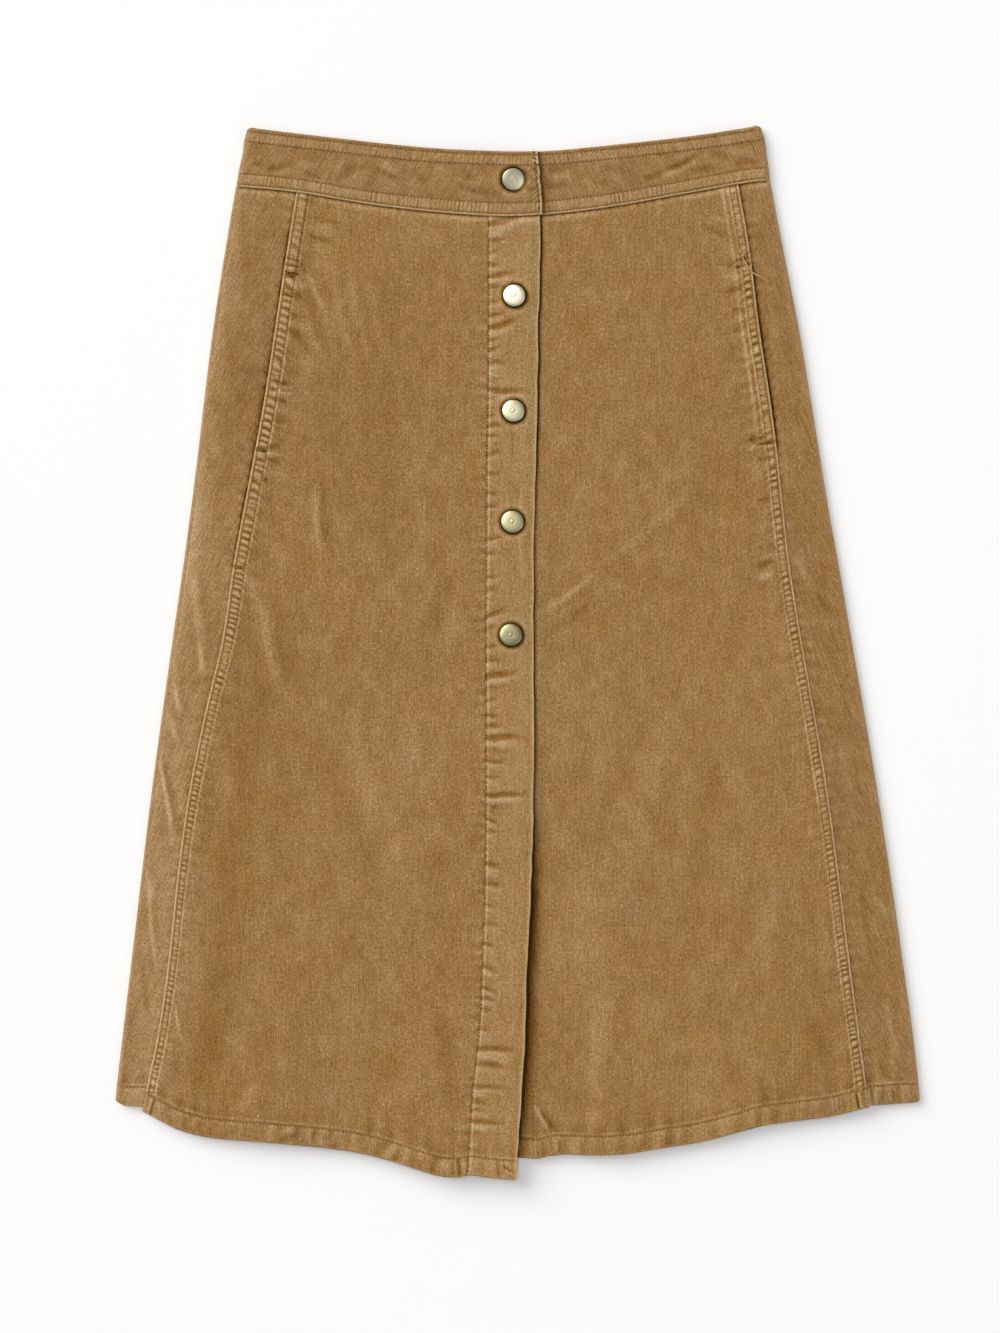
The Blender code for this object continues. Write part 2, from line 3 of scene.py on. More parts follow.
import bmesh
import bpy
import numpy as np
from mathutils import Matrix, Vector


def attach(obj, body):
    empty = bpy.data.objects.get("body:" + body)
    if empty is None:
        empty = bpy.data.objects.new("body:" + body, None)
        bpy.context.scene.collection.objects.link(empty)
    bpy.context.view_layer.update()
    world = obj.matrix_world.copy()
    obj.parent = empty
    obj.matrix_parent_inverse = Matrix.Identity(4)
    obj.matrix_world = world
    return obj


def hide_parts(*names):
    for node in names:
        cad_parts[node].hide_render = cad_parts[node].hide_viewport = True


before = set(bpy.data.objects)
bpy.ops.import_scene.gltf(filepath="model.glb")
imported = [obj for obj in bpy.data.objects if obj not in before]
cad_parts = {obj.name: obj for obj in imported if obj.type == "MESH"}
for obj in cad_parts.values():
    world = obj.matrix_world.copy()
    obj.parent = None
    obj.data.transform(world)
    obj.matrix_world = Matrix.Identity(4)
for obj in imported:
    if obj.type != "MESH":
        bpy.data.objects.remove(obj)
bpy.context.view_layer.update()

# Corduroy A-line skirt with a snap front, laid flat. Sizes are in millimetres and turn into metres in makeMesh.
# +X is the viewer's right, +Y the waist, +Z up. "Right" and "left" are the wearer's: the right half is at -X.
mm = 0.001
print("skirt: frame loaded,", len(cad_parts), "nodes")

cloth = {
    "wall": 1.2,  # one layer
    "bandWall": 2.6,
    "bagWall": 1,
    "gap": 0.3,
    "hemDepth": 15,
    "hemStitch": 13.4,  # height of the hem's stitching above its edge
    "seamGap": 0.04,  # between sewn pieces, where the solids leave 0.3
    "allowance": 9,  # side panel under the front's stitched edge
    "allowanceRun": 12,
    "seamBulkFrom": -258,  # towards the hem the seams stand higher, over the turned-up cloth
    "seamBulkRun": 36,
    "foldHeight": 6,  # over the side folds
    "crown": 1.6,
    "crownRun": 80,
    "underHeight": 5.6,  # outer face of the left placket
    "placketGap": 2.3,
    "placketRun": 62,
    "placketMargin": 4,
    "gape": 2.2,  # the unsnapped end of the right placket lifts
    "gapeFrom": -95,
    "gapeRun": 190,
    "bandProud": 1,
    "hemLift": 3,
    "hemLiftRun": 170,
    "pocketLip": 1.3,
    "pocketLipRun": 16,
    "pocketTop": 274,
    "pocketEnd": 138,
    "swellFade": 10,
    "underLap": 1,
    "waistLevel": 325,
    "walePitch": 1.75,
}

# y, right fold, right seam, placket seam, placket edge, left placket's seam, left seam, left fold
sections = (
    (330, -196.6, -153.5, -21, 15, 13, 153.5, 176.2), (281, -204.8, -161.5, -21, 15.3, 13, 162, 185.6),
    (225, -213.4, -170, -21, 14.2, 12.5, 169, 196.6), (176, -219.6, -177.5, -21.5, 13.6, 12, 176.5, 204.8),
    (138, -224, -184.5, -22, 12.6, 11.5, 181.5, 211), (96, -229.3, -192.5, -22.4, 11.7, 11, 186, 217.9),
    (61, -234.1, -199, -22.5, 11.2, 10.5, 190, 224.3), (8, -241.7, -207, -22.8, 10.8, 10, 198.5, 233.4),
    (-48, -249.6, -220, -22.8, 11.2, 10, 208.5, 243.1), (-104, -257.1, -231, -22.8, 11, 10, 217.5, 252.4),
    (-160, -263.8, -238.5, -23.5, 9.4, 10, 225, 261), (-216, -270.4, -244.5, -25.1, 6.6, 10, 232, 269),
    (-265, -276.2, -251.5, -27.6, 5, 10, 238.5, 275.9), (-307, -281, -260, -32, 2.5, 10.5, 244, 280.6),
    (-356, -285, -268.5, -35.2, -0.3, 11, 249.5, 284.5),
)

# Edges that run across, as (x, y)
edges = {
    "top": (
        (-189, 366.8), (-141, 361), (-75, 353.6), (-34, 350.8), (14, 350.1), (67, 354.6), (120, 360.6),
        (170, 368.2),
    ),
    "waist": (
        (-197, 325.6), (-155, 321.4), (-101.5, 312.6), (-47.5, 306.6), (-1.5, 304.6), (57, 310), (120.5, 321),
        (161, 328.2), (176.5, 329.8),
    ),
    "rightSideHem": ((-281.4, -314.8), (-277.4, -317), (-264.6, -317.8), (-252, -318)),
    "rightHem": (
        (-264, -320.4), (-246, -330), (-238, -334), (-218, -339.2), (-175, -343), (-125, -348), (-99, -353),
        (-78, -359.2), (-56, -366), (-42, -367), (-34, -365.6), (-20, -367.4), (-3, -368.9),
    ),
    "leftHem": (
        (-24, -353), (0.7, -353.6), (14, -354.2), (25, -351.4), (56, -352), (78, -350.7), (100, -347),
        (127, -342.8), (155, -335.6), (167, -331.8), (192, -328.2), (220, -324.6), (239, -319.8),
        (250, -317.2),
    ),
    "leftSideHem": ((236, -318.2), (250, -317), (281.4, -315)),
    "backHem": (
        (-281.4, -314.4), (-262, -316), (-200, -328), (-100, -338), (0, -342), (100, -336), (200, -322.5),
        (255, -315.6), (281.4, -315),
    ),
}
bandEndLine = ((350, 14), (332, 15.3), (305, 17.4))  # y, x of the upper band end
bandSides = (
    (367.5, -189, 169.8), (356, -191.8, 173), (349, -192.6, 173.8), (337, -195.2, 175.5), (326, -197, 176.6),
)
bagShape = ((314, 60), (250, 88), (170, 97), (110, 88), (76, 62), (62, 30))

# Largest folds by side: x0, y0, x1, y1, half width, height
swellLines = {
    1: (
        (8, 24, 58, 64, 17, 0.9), (58, 64, 128, 128, 22, 0.8), (10, -318, 24, -340, 9, -1.3),
        (26, -180, 20, -300, 20, -1.6), (62, -290, 60, -352, 26, 1.5), (168, -280, 176, -330, 24, 1.2),
        (118, -270, 122, -345, 22, -1), (150, 190, 160, 60, 26, 0.9),
    ),
    -1: (
        (-66, -150, -70, -360, 34, 1.8), (-170, -260, -176, -343, 34, 1.6),
        (-122, -250, -124, -348, 22, -1.2), (-136, 116, -134, 60, 14, 0.8), (-238, -60, -247, -128, 10, -0.8),
        (-257, -165, -262, -235, 9, 0.7), (-110, 250, -96, 80, 30, 0.9),
    ),
}


def mix(a, b, share):
    return a + (b - a) * share


def ease(share):
    share = np.clip(share, 0, 1)
    return share * share * (3 - 2 * share)


def over(value, level, run):  # 0 up to the level, 1 from a run above it
    return ease((value - level) / run)


def under(value, level, run):  # 0 down to the level, 1 from a run below it
    return ease((level - value) / run)


def smoothCurve(points):  # a smooth line through (at, value) points, straight past its ends
    points = sorted(points)
    at = np.array([p[0] for p in points])
    value = np.array([p[1] for p in points])
    last = len(at) - 1
    before = np.maximum(np.arange(len(at)) - 1, 0)
    after = np.minimum(np.arange(len(at)) + 1, last)
    slope = (value[after] - value[before]) / (at[after] - at[before])

    def valueAt(x):
        x = np.asarray(x, float)
        i = np.clip(np.searchsorted(at, x, side="right") - 1, 0, last - 1)
        span = at[i + 1] - at[i]
        t = (x - at[i]) / span
        rise = value[i + 1] - value[i]
        start = slope[i] * span
        end = slope[i + 1] * span
        inside = value[i] + t * (start + t * (3 * rise - 2 * start - end + t * (start + end - 2 * rise)))
        low = value[0] + slope[0] * (x - at[0])
        high = value[last] + slope[last] * (x - at[last])
        return np.where(x <= at[0], low, np.where(x >= at[last], high, inside))

    return valueAt


def column(rows, place):
    return smoothCurve([(row[0], row[place]) for row in rows])


# A side is -1 for the wearer's right half and 1 for the left half
folds = {-1: column(sections, 1), 1: column(sections, 7)}
seams = {-1: column(sections, 2), 1: column(sections, 6)}
bandFolds = {-1: column(bandSides, 1), 1: column(bandSides, 2)}
hems = {-1: smoothCurve(edges["rightHem"]), 1: smoothCurve(edges["leftHem"])}
sideHems = {-1: smoothCurve(edges["rightSideHem"]), 1: smoothCurve(edges["leftSideHem"])}
placketSeam = column(sections, 3)
plainPlacketEdge = column(sections, 4)
underSeam = column(sections, 5)
plainBandEnd = column(bandEndLine, 1)
bagReach = column(bagShape, 1)
topEdge = smoothCurve(edges["top"])
waistSeam = smoothCurve(edges["waist"])
backHem = smoothCurve(edges["backHem"])


def inward(x, y):  # from the nearer side fold
    return np.minimum(x - folds[-1](y), folds[1](y) - x) - cloth["foldHeight"] / 2


def blank(x, y):
    return np.zeros(np.broadcast(x, y).shape)


def lineDistance(x, y, x0, y0, x1, y1):
    along = ((x - x0) * (x1 - x0) + (y - y0) * (y1 - y0)) / ((x1 - x0) ** 2 + (y1 - y0) ** 2)
    along = np.clip(along, 0, 1)
    return np.hypot(x - mix(x0, x1, along), y - mix(y0, y1, along))


def swells(x, y):
    isRight = x < placketSeam(y)
    total = blank(x, y)
    for side, here in ((1, ~isRight), (-1, isRight)):
        for x0, y0, x1, y1, halfWidth, height in swellLines[side]:
            total += here * height * (1 - ease(lineDistance(x, y, x0, y0, x1, y1) / halfWidth))
    return total * ease(inward(x, y) / cloth["swellFade"])


def hemLift(x, y):
    near = ease(1 - (y - float(hems[-1](0))) / cloth["hemLiftRun"])
    return cloth["hemLift"] * near * ease(inward(x, y) / cloth["crownRun"])


def pocketOpen(y):  # 1 half way down a pocket's slit
    share = (cloth["pocketTop"] - y) / (cloth["pocketTop"] - cloth["pocketEnd"])
    return np.sin(pi * np.clip(share, 0, 1))


def freeHeight(x, y):
    return cloth["foldHeight"] + cloth["crown"] * ease(inward(x, y) / cloth["crownRun"]) + swells(x, y)


def atPlacket(x, y):
    outside = np.maximum(placketSeam(y) - x, x - underSeam(y) - cloth["placketMargin"])
    return 1 - ease(np.maximum(outside, 0) / cloth["placketRun"])


def underFace(x, y):  # outer face of the left half
    return mix(freeHeight(x, y), cloth["underHeight"], atPlacket(x, y)) + hemLift(x, y)


def overFace(x, y, layer=2 * cloth["wall"]):  # outer face of the right half
    gape = cloth["gape"] * under(y, cloth["gapeFrom"], cloth["gapeRun"])
    atEdge = cloth["underHeight"] + cloth["placketGap"] + layer + gape
    return mix(freeHeight(x, y), atEdge, atPlacket(x, y)) + hemLift(x, y)


def seamStep(fromSeam, y):  # a front panel over the side panel
    bulk = cloth["wall"] * under(y, cloth["seamBulkFrom"], cloth["seamBulkRun"])
    lap = cloth["wall"] + cloth["gap"] + bulk
    lap = lap * (1 - over(fromSeam, cloth["allowance"], cloth["allowanceRun"]))
    return lap + cloth["pocketLip"] * pocketOpen(y) * (1 - ease(fromSeam / cloth["pocketLipRun"]))


def frontFace(x, y, side):
    face = underFace if side > 0 else overFace
    return face(x, y) + seamStep(side * (seams[side](y) - x), y)


def bandFace(x, y, side):
    face = underFace(x, y) if side > 0 else overFace(x, y, cloth["bandWall"])
    return face + cloth["bandProud"]


def underEdge(y):
    return placketSeam(y) + cloth["underLap"]


def belowBand(x):
    return waistSeam(x) - cloth["seamGap"]


# Relief: small heights laid on those faces, as functions of the place on the cloth
def softNoise(x, y, size, seed):  # -1 to 1, with bumps about `size` apart; size may be (across, along)
    sizeX, sizeY = size if isinstance(size, tuple) else (size, size)
    u = np.asarray(x, float) / sizeX + 37 * seed
    u, v = np.broadcast_arrays(u, np.asarray(y, float) / sizeY + 11 * seed)
    i, j = (np.floor(part).astype(np.int64) for part in (u, v))

    def corner(stepX, stepY):
        h = ((i + stepX) * 374761393 + (j + stepY) * 668265263 + seed * 974711) & 0xFFFFFFFF
        h = ((h ^ (h >> 13)) * 1274126177) & 0xFFFFFFFF
        return ((h ^ (h >> 16)) & 0xFFFF) / 32767.5 - 1

    across, along = (t * t * t * (t * (t * 6 - 15) + 10) for t in (u - i, v - j))
    return mix(mix(corner(0, 0), corner(1, 0), across), mix(corner(0, 1), corner(1, 1), across), along)


def groove(distance, halfWidth):  # 1 on the line, 0 away from it
    return np.exp(-((distance / halfWidth) ** 2))


def ridges(value, rows):  # each row: place, half width, height
    return sum(height * groove(value - place, halfWidth) for place, halfWidth, height in rows)


def within(value, low, high, run):  # 1 between low and high, eased over run at each end
    return ease((value - low) / run + 0.5) * ease((high - value) / run + 0.5)


def trail(past, rise, reach):  # grows over rise from a line, then dies away over reach
    return ease(past / rise) * np.exp(-past / reach)


def rounding(distance, radius):  # how far a folded edge of this radius has dropped
    left = radius - np.clip(distance, 0, radius)
    return radius - np.sqrt(np.maximum(radius * radius - left**2, 0))


placketFoot = -369


def placketEdge(y):  # it wavers slightly, and its lower corner is rounded
    waver = 0.3 * softNoise(y, 0, 9, 3) + 0.25 * softNoise(y, 0, 23, 4)
    return plainPlacketEdge(y) + waver - rounding(y - placketFoot, 2)


def bandEnd(y):
    return plainBandEnd(y) + 0.4 * softNoise(y, 0, 5.5, 5)


def ripples(along, across, pitch, seed):  # uneven ridges across a seam, -1 to 1
    shift = softNoise(along, across * 0.25, pitch * 2.6, seed) * pitch * 0.55
    wave = np.sin(2 * pi * (along + shift) / pitch)
    strength = 0.55 + 0.45 * softNoise(along, 0, pitch * 1.9, seed + 5)
    return wave * strength


def creases(x, y, lines):  # x0, y0, x1, y1, bow, half width, height
    total = blank(x, y)
    for x0, y0, x1, y1, bow, halfWidth, height in lines:
        length = np.hypot(x1 - x0, y1 - y0)
        along = ((x - x0) * (x1 - x0) + (y - y0) * (y1 - y0)) / length**2
        across = ((x - x0) * (y1 - y0) - (y - y0) * (x1 - x0)) / length
        across = across - bow * 4 * along * (1 - along)
        fade = ease(along / 0.28 + 0.1) * ease((1 - along) / 0.4 + 0.05)
        total += height * groove(across, halfWidth) * fade
    return total


rumpled = ((46, 0.22), ((15, 21), 0.1), (5, 0.05))  # size and height of the bumps


def rumples(x, y, seed):  # the slight unevenness of washed cloth
    return sum(height * softNoise(x, y, size, seed + i) for i, (size, height) in enumerate(rumpled))


def boxBlur(grid, reach):
    for axis in (0, 1):
        size = grid.shape[axis]
        sums = np.insert(np.cumsum(grid, axis=axis), 0, 0, axis=axis)
        low = np.maximum(np.arange(size) - reach[axis], 0)
        high = np.minimum(np.arange(size) + reach[axis] + 1, size)
        width = (high - low).reshape((-1, 1) if axis == 0 else (1, -1))
        grid = (np.take(sums, high, axis=axis) - np.take(sums, low, axis=axis)) / width
    return grid


def ridgeWearAndHollowShade(relief, reach=(4, 6)):  # ridges made lighter, for wearing and with painted light, and hollows given painted shade; reach is in columns and rows
    return np.clip(1.6 * (relief - boxBlur(boxBlur(relief, reach), reach)), -0.8, 0.7)


seam = {
    "outerRow": 2,  # stitching from the front's folded edge
    "innerRow": 6.6,
    "body": 0.3,
    "ladder": 0.5,
    "lean": 0.35,
    "barsBelow": 0.263,  # bars for each millimetre
    "barsAlongPocket": 0.189,
    "barsFrom": 20,
    "barsRun": 120,
    "flatAbove": 256,
    "pocketEdge": 12,  # where the allowance's edge shows through along the left pocket
    "pucker": 0.4,
    "puckerReach": 4,
    "fold": 0.32,
    "foldPitch": 11,
    "foldReach": 13,
    "tacks": {  # level, reach over the seam, and where its grooves lie beside that level, which get painted shade
        -1: ((271, 10, (4.6, 0.2, -4.8)), (142, 9.5, (0,)), (60, 7, (0,))),
        1: ((273, 11, (3, -1.5)), (147.5, 14, (0,))),
    },
}


def innerRowAt(y, side):  # on the right half it is further from the edge along the pocket and nearer below
    further = 1.7 * over(y, -40, 90) - 1.2 * under(y, -60, 120)
    return seam["innerRow"] + further * (side < 0)


def ladder(e, y, seed):  # bars across the seam, further apart along the pocket than lower down
    start, run = seam["barsFrom"], seam["barsRun"]
    along = y + seam["lean"] * e + 0.05 * (e - 5) ** 2
    share = np.clip((along - start) / run, 0, 1)
    past = run * (share**3 - share**4 / 2) + np.maximum(along - start - run, 0)
    turns = seam["barsBelow"] * along - (seam["barsBelow"] - seam["barsAlongPocket"]) * past
    turns = turns + 0.46 * softNoise(y, e * 0.3, 9, seed)
    return np.sin(2 * pi * turns) * (0.62 + 0.45 * softNoise(y, e * 0.4, 10, seed + 5))


def seamRelief(e, y, side, seed):  # e is the distance from the front panel's folded edge
    outer, inner = seam["outerRow"], innerRowAt(y, side)
    past = np.maximum(e - inner, 0)
    high = over(y, seam["flatAbove"], 16)
    bars = ladder(e, y, seed) * (1 - 0.6 * high)
    patchy = 0.75 + 0.45 * softNoise(y, 0, 31, seed + 7)
    between = within(e, outer + 0.5, inner, 1.5)
    height = between * (seam["body"] + seam["ladder"] * bars)
    height += ridges(e, ((0.7, 0.9, 0.2), (outer, 0.55, -0.22), (inner + 1.3, 0.9, 0.25), (inner, 0.7, -0.25)))
    height += seam["pucker"] * trail(past, 1.4, seam["puckerReach"]) * bars
    across = ripples(y + 0.3 * e, e, seam["foldPitch"], seed + 9) * (0.55 + 0.6 * pocketOpen(y))
    height += seam["fold"] * trail(past, 2, seam["foldReach"]) * across
    # colour: the folded edge pale, painted shade at the stitch rows and painted light on the ridge past the
    # inner row
    wearAndShading = ridges(e, ((0.4, 0.8, 1.5), (outer, 0.5, -0.2), (inner + 1.2, 0.75, 0.9 * patchy)))
    # the ladder's bars painted light and the hollows between them painted shade
    wearAndShading += between * (np.where(bars > 0, 0.4, 1) * bars + 0.2)
    if side > 0:
        pocket = within(y, 150, 330, 20)
        height += 0.25 * groove(e - seam["pocketEdge"], 1.1) * pocket
        # painted light along the allowance's edge, where it shows through
        wearAndShading += 0.55 * patchy * groove(e - seam["pocketEdge"], 0.9) * pocket
    else:
        # painted shade beside the inner row near the band
        wearAndShading -= 1.2 * high * groove(e - inner - 0.3, 0.8)
    for level, reach, bends in seam["tacks"][side]:
        across = within(e, 0.3, reach, 1.5)
        halfWidth = 1.2 if len(bends) == 1 else 0.8
        bar = sum(groove(y - level - bend + 0.22 * e, halfWidth) for bend in bends) * across
        height += 0.4 * groove(np.abs(y - level) - 2.9, 1.3) * across - 0.5 * bar
        beyond = np.maximum(e - reach, 0)
        for slope in (-0.7, 0.05, 0.8):
            height -= 0.3 * trail(beyond, 2, 6) * groove(y - level - slope * beyond, 1.2 + 0.1 * beyond)
        # painted shade in the tack's grooves
        wearAndShading -= 1.3 * bar
    return height, wearAndShading


slitShade = {  # painted shade in the line beside a seam, from the waist down; values below zero paint light there instead
    -1: (
        (-326, -290, -276, -262, -240, -190, -135, -122, -70, -54, 320),
        (1.2, 1.4, 1.5, 1.9, 1.4, 1, 1.1, 1.8, 1.6, 0.35, 0.1),
    ),
    1: ((-326, -288, -272, -266, -146, -136, 0, 298, 310), (0.9, 0.7, 0.6, 2, 2, 0, -0.3, -0.3, -1.2)),
}
besideSlitShade = {  # painted shade on the cloth further from that line; values below zero paint light instead
    -1: ((-300, -280, -225, -176, -138, -96, -61, -8), (-0.7, -0.75, -0.35, 0.4, -0.25, -0.75, -0.45, 0)),
    1: ((-300, -225, -176, -138, -96), (0.2, 0.2, -0.15, -0.35, 0)),
}
slitFoot = {-1: 54, 1: 136}  # where the puckers beside a pocket's slit end
slitTop = 266
hem = {
    "bulge": 0.45,
    "pucker": 0.4,
    "puckerPitch": 4.2,
    "wave": 0.22,
    "wavePitch": 13,
    "above": 0.35,
    "aboveReach": 12,
}


def hemRelief(h, along, seed, gather=1):  # h is the height above the hem's edge
    row = cloth["hemStitch"]
    inside = 1 - ease((h - row + 1.2) / 1.6)
    fold = ripples(along + 0.12 * h, 0, hem["puckerPitch"], seed)
    gathered = np.clip(0.7 + 0.8 * softNoise(along, 0, 22, seed + 9), 0.15, 1.4)
    puckers = gather * hem["pucker"] * gathered * fold * np.where(fold < 0, 1, 0.45)
    waves = hem["wave"] * ripples(along - 0.1 * h, 0, hem["wavePitch"], seed + 7)
    height = inside * (hem["bulge"] + (puckers + waves) * ease(h / 2.5))
    height += ridges(h, ((row, 0.8, -0.12), (row + 1.6, 0.9, 0.2)))
    past = np.maximum(h - row, 0)
    height += hem["above"] * trail(past, 2, hem["aboveReach"]) * ripples(along, h, hem["wavePitch"], seed + 3)
    # colour: pale at the folded edge, painted shade at the stitch row, painted light on the ridge above it, and
    # the puckers and waves painted light and dark with their height
    wearAndShading = ridges(h, ((0.4, 0.9, 0.6), (row, 0.7, -0.25), (row + 1.4, 0.8, 0.45)))
    return height, wearAndShading + inside * (0.8 * puckers + 0.2 * waves)


# Meshes
def show(name, data):
    shown = bpy.data.objects.new(name, data)
    bpy.context.scene.collection.objects.link(shown)
    return shown


def makeMesh(name, points, corners, sizes, uv, wearAndShading, material):  # corners lists each face's points in turn
    mesh = bpy.data.meshes.new(name)
    mesh.vertices.add(len(points))
    mesh.vertices.foreach_set("co", (np.asarray(points) * mm).ravel())
    mesh.loops.add(len(corners))
    mesh.loops.foreach_set("vertex_index", corners)
    mesh.polygons.add(len(sizes))
    mesh.polygons.foreach_set("loop_start", np.concatenate([[0], np.cumsum(sizes)[:-1]]))
    mesh.polygons.foreach_set("loop_total", sizes)
    mesh.update(calc_edges=True)
    mesh.validate()
    layer = mesh.uv_layers.new(name="grain")
    loopPoints = np.empty(len(mesh.loops), np.int32)
    mesh.loops.foreach_get("vertex_index", loopPoints)
    layer.data.foreach_set("uv", (np.asarray(uv)[loopPoints] * mm).ravel())
    # a mask of the cloth's wearing and of painted light and shade, which the materials turn into tone; on the
    # caps, duller brass and painted shade
    mask = mesh.attributes.new("wearAndShading", "FLOAT", "POINT")
    mask.data.foreach_set("value", np.asarray(wearAndShading, np.float32))
    shape = bmesh.new()
    shape.from_mesh(mesh)
    bmesh.ops.recalc_face_normals(shape, faces=shape.faces)
    shape.to_mesh(mesh)
    shape.free()
    mesh.shade_smooth()
    mesh.materials.append(material)
    return show(name, mesh)


def shell(name, outer, inner, uv, wearAndShading, step, material):
    # A closed wall from a fine outer grid and the same grid's inner face, of which every step-th point is kept
    columns, rows = outer.shape[:2]
    pickC = np.unique(np.append(np.arange(0, columns, step), columns - 1))
    pickR = np.unique(np.append(np.arange(0, rows, step), rows - 1))
    fine = np.arange(columns * rows).reshape(columns, rows)
    coarse = columns * rows + np.arange(len(pickC) * len(pickR)).reshape(len(pickC), len(pickR))

    def quads(index):
        a, b, c, d = index[:-1, :-1], index[:-1, 1:], index[1:, 1:], index[1:, :-1]
        return np.stack([q.ravel() for q in (a, b, c, d)], axis=1)

    corners = np.concatenate([quads(fine).ravel(), quads(coarse[::-1]).ravel()])
    sizes = [np.full(len(corners) // 4, 4)]
    rim = []
    for outLine, inLine, picks in (
        (fine[:, 0], coarse[:, 0], pickC),
        (fine[::-1, -1], coarse[::-1, -1], columns - 1 - pickC[::-1]),
        (fine[0, ::-1], coarse[0, ::-1], rows - 1 - pickR[::-1]),
        (fine[-1, :], coarse[-1, :], pickR),
    ):
        for k in range(len(picks) - 1):
            face = list(outLine[picks[k]:picks[k + 1] + 1]) + [inLine[k + 1], inLine[k]]
            rim += face
            sizes.append([len(face)])
    kept = np.ix_(pickC, pickR)
    points = np.concatenate([outer.reshape(-1, 3), inner[kept].reshape(-1, 3)])
    uvs = np.concatenate([uv.reshape(-1, 2), uv[kept].reshape(-1, 2)])
    allWearAndShading = np.concatenate([wearAndShading.ravel(), np.zeros(len(coarse.ravel()))])
    corners = np.concatenate([corners, np.array(rim, corners.dtype)])
    sizes = np.concatenate(sizes).astype(np.int32)
    return makeMesh(name + "_cloth", points, corners, sizes, uvs, allWearAndShading, material)


def crossing(xAt, edge, near):
    y = near
    for _ in range(8):
        y = edge(xAt(y))
    return y


plainRow = np.array([0])
edgeRows = np.array([0, 0.07, 0.25, 0.5, 0.82, 1.2])  # rows and columns round a folded edge


def levels(top, foot, count, topRows):
    top, foot = top[:, None], foot[:, None]
    field = mix(top - topRows[-1] - 0.5, foot + edgeRows[-1] + 0.5, np.linspace(0, 1, count))
    return np.concatenate([top - topRows, field, foot + edgeRows[::-1]], axis=1)


def laidGrid(start, end, shares, offsets, topOf, footOf, count, topRows=plainRow):
    # x, y and the distances from the top and the foot, for a grid between two upright edges
    def xAt(y):
        return mix(start(y), end(y), shares) + offsets

    level = np.full(len(shares), cloth["waistLevel"])
    top = crossing(xAt, topOf, level)
    foot = crossing(xAt, footOf, footOf(xAt(level)))
    y = levels(top, foot, count, topRows)
    x = mix(start(y), end(y), shares[:, None]) + offsets[:, None]
    return x, y, top[:, None] - y, y - foot[:, None]


def spread(startOffsets, count, endOffsets):  # columns set near both edges, and evenly spaced between them
    first, last = np.asarray(startOffsets, float), np.asarray(endOffsets, float)
    u = np.linspace(0, 1, count + 2)[1:-1]
    shares = np.concatenate([np.zeros(len(first)), u, np.ones(len(last))])
    return shares, np.concatenate([first, mix(first[-1], last[0], u), last])


def grainUv(x, y, lean):  # across and along the wales; lean is in degrees from upright, clockwise
    a = lean * pi / 180
    return np.stack([x * cos(a) - y * sin(a), x * sin(a) + y * cos(a)], axis=-1)


def wallAt(h):  # two layers where the hem is turned up
    return cloth["wall"] * (1 + 1 * (h < cloth["hemDepth"]))


def atEnds(x, w, h, hemSeed, bandSeed, gather=1):  # relief, and the mask of wearing and painted light and shade, at the hem and below the band
    hemHeight, hemWearAndShading = hemRelief(h, x, hemSeed, gather)
    bandHeight, bandShading = underBandRelief(w, x, bandSeed)
    return hemHeight + bandHeight, hemWearAndShading + bandShading


def grid3(x, y, z):
    return np.stack([x, y, z], axis=-1)


def panel(name, x, y, z, relief, drop, wall, wearAndShading, step, material):  # z is the face without its relief
    outer = grid3(x, y, z + relief - drop)
    inner = grid3(x, y, z - wall + drop)
    return shell(name, outer, inner, grainUv(x, y, 0), wearAndShading, step, material)


foldRadius = {"single": 0.55, "hem": 1.15, "band": 1.2}


def underBandRelief(w, x, seed):  # cloth gathered slightly where the band is sewn on
    height = 0.22 * np.exp(-np.maximum(w, 0) / 6) * ripples(x, w, 7.5, seed) - 0.3 * groove(w, 1.1)
    pale = 0.5 + 0.35 * softNoise(x, 0, 34, seed + 4)
    # painted shade under the band's edge, and painted light just below it
    return height, -1.1 * groove(w, 1) + pale * groove(w - 2.8, 1.8)


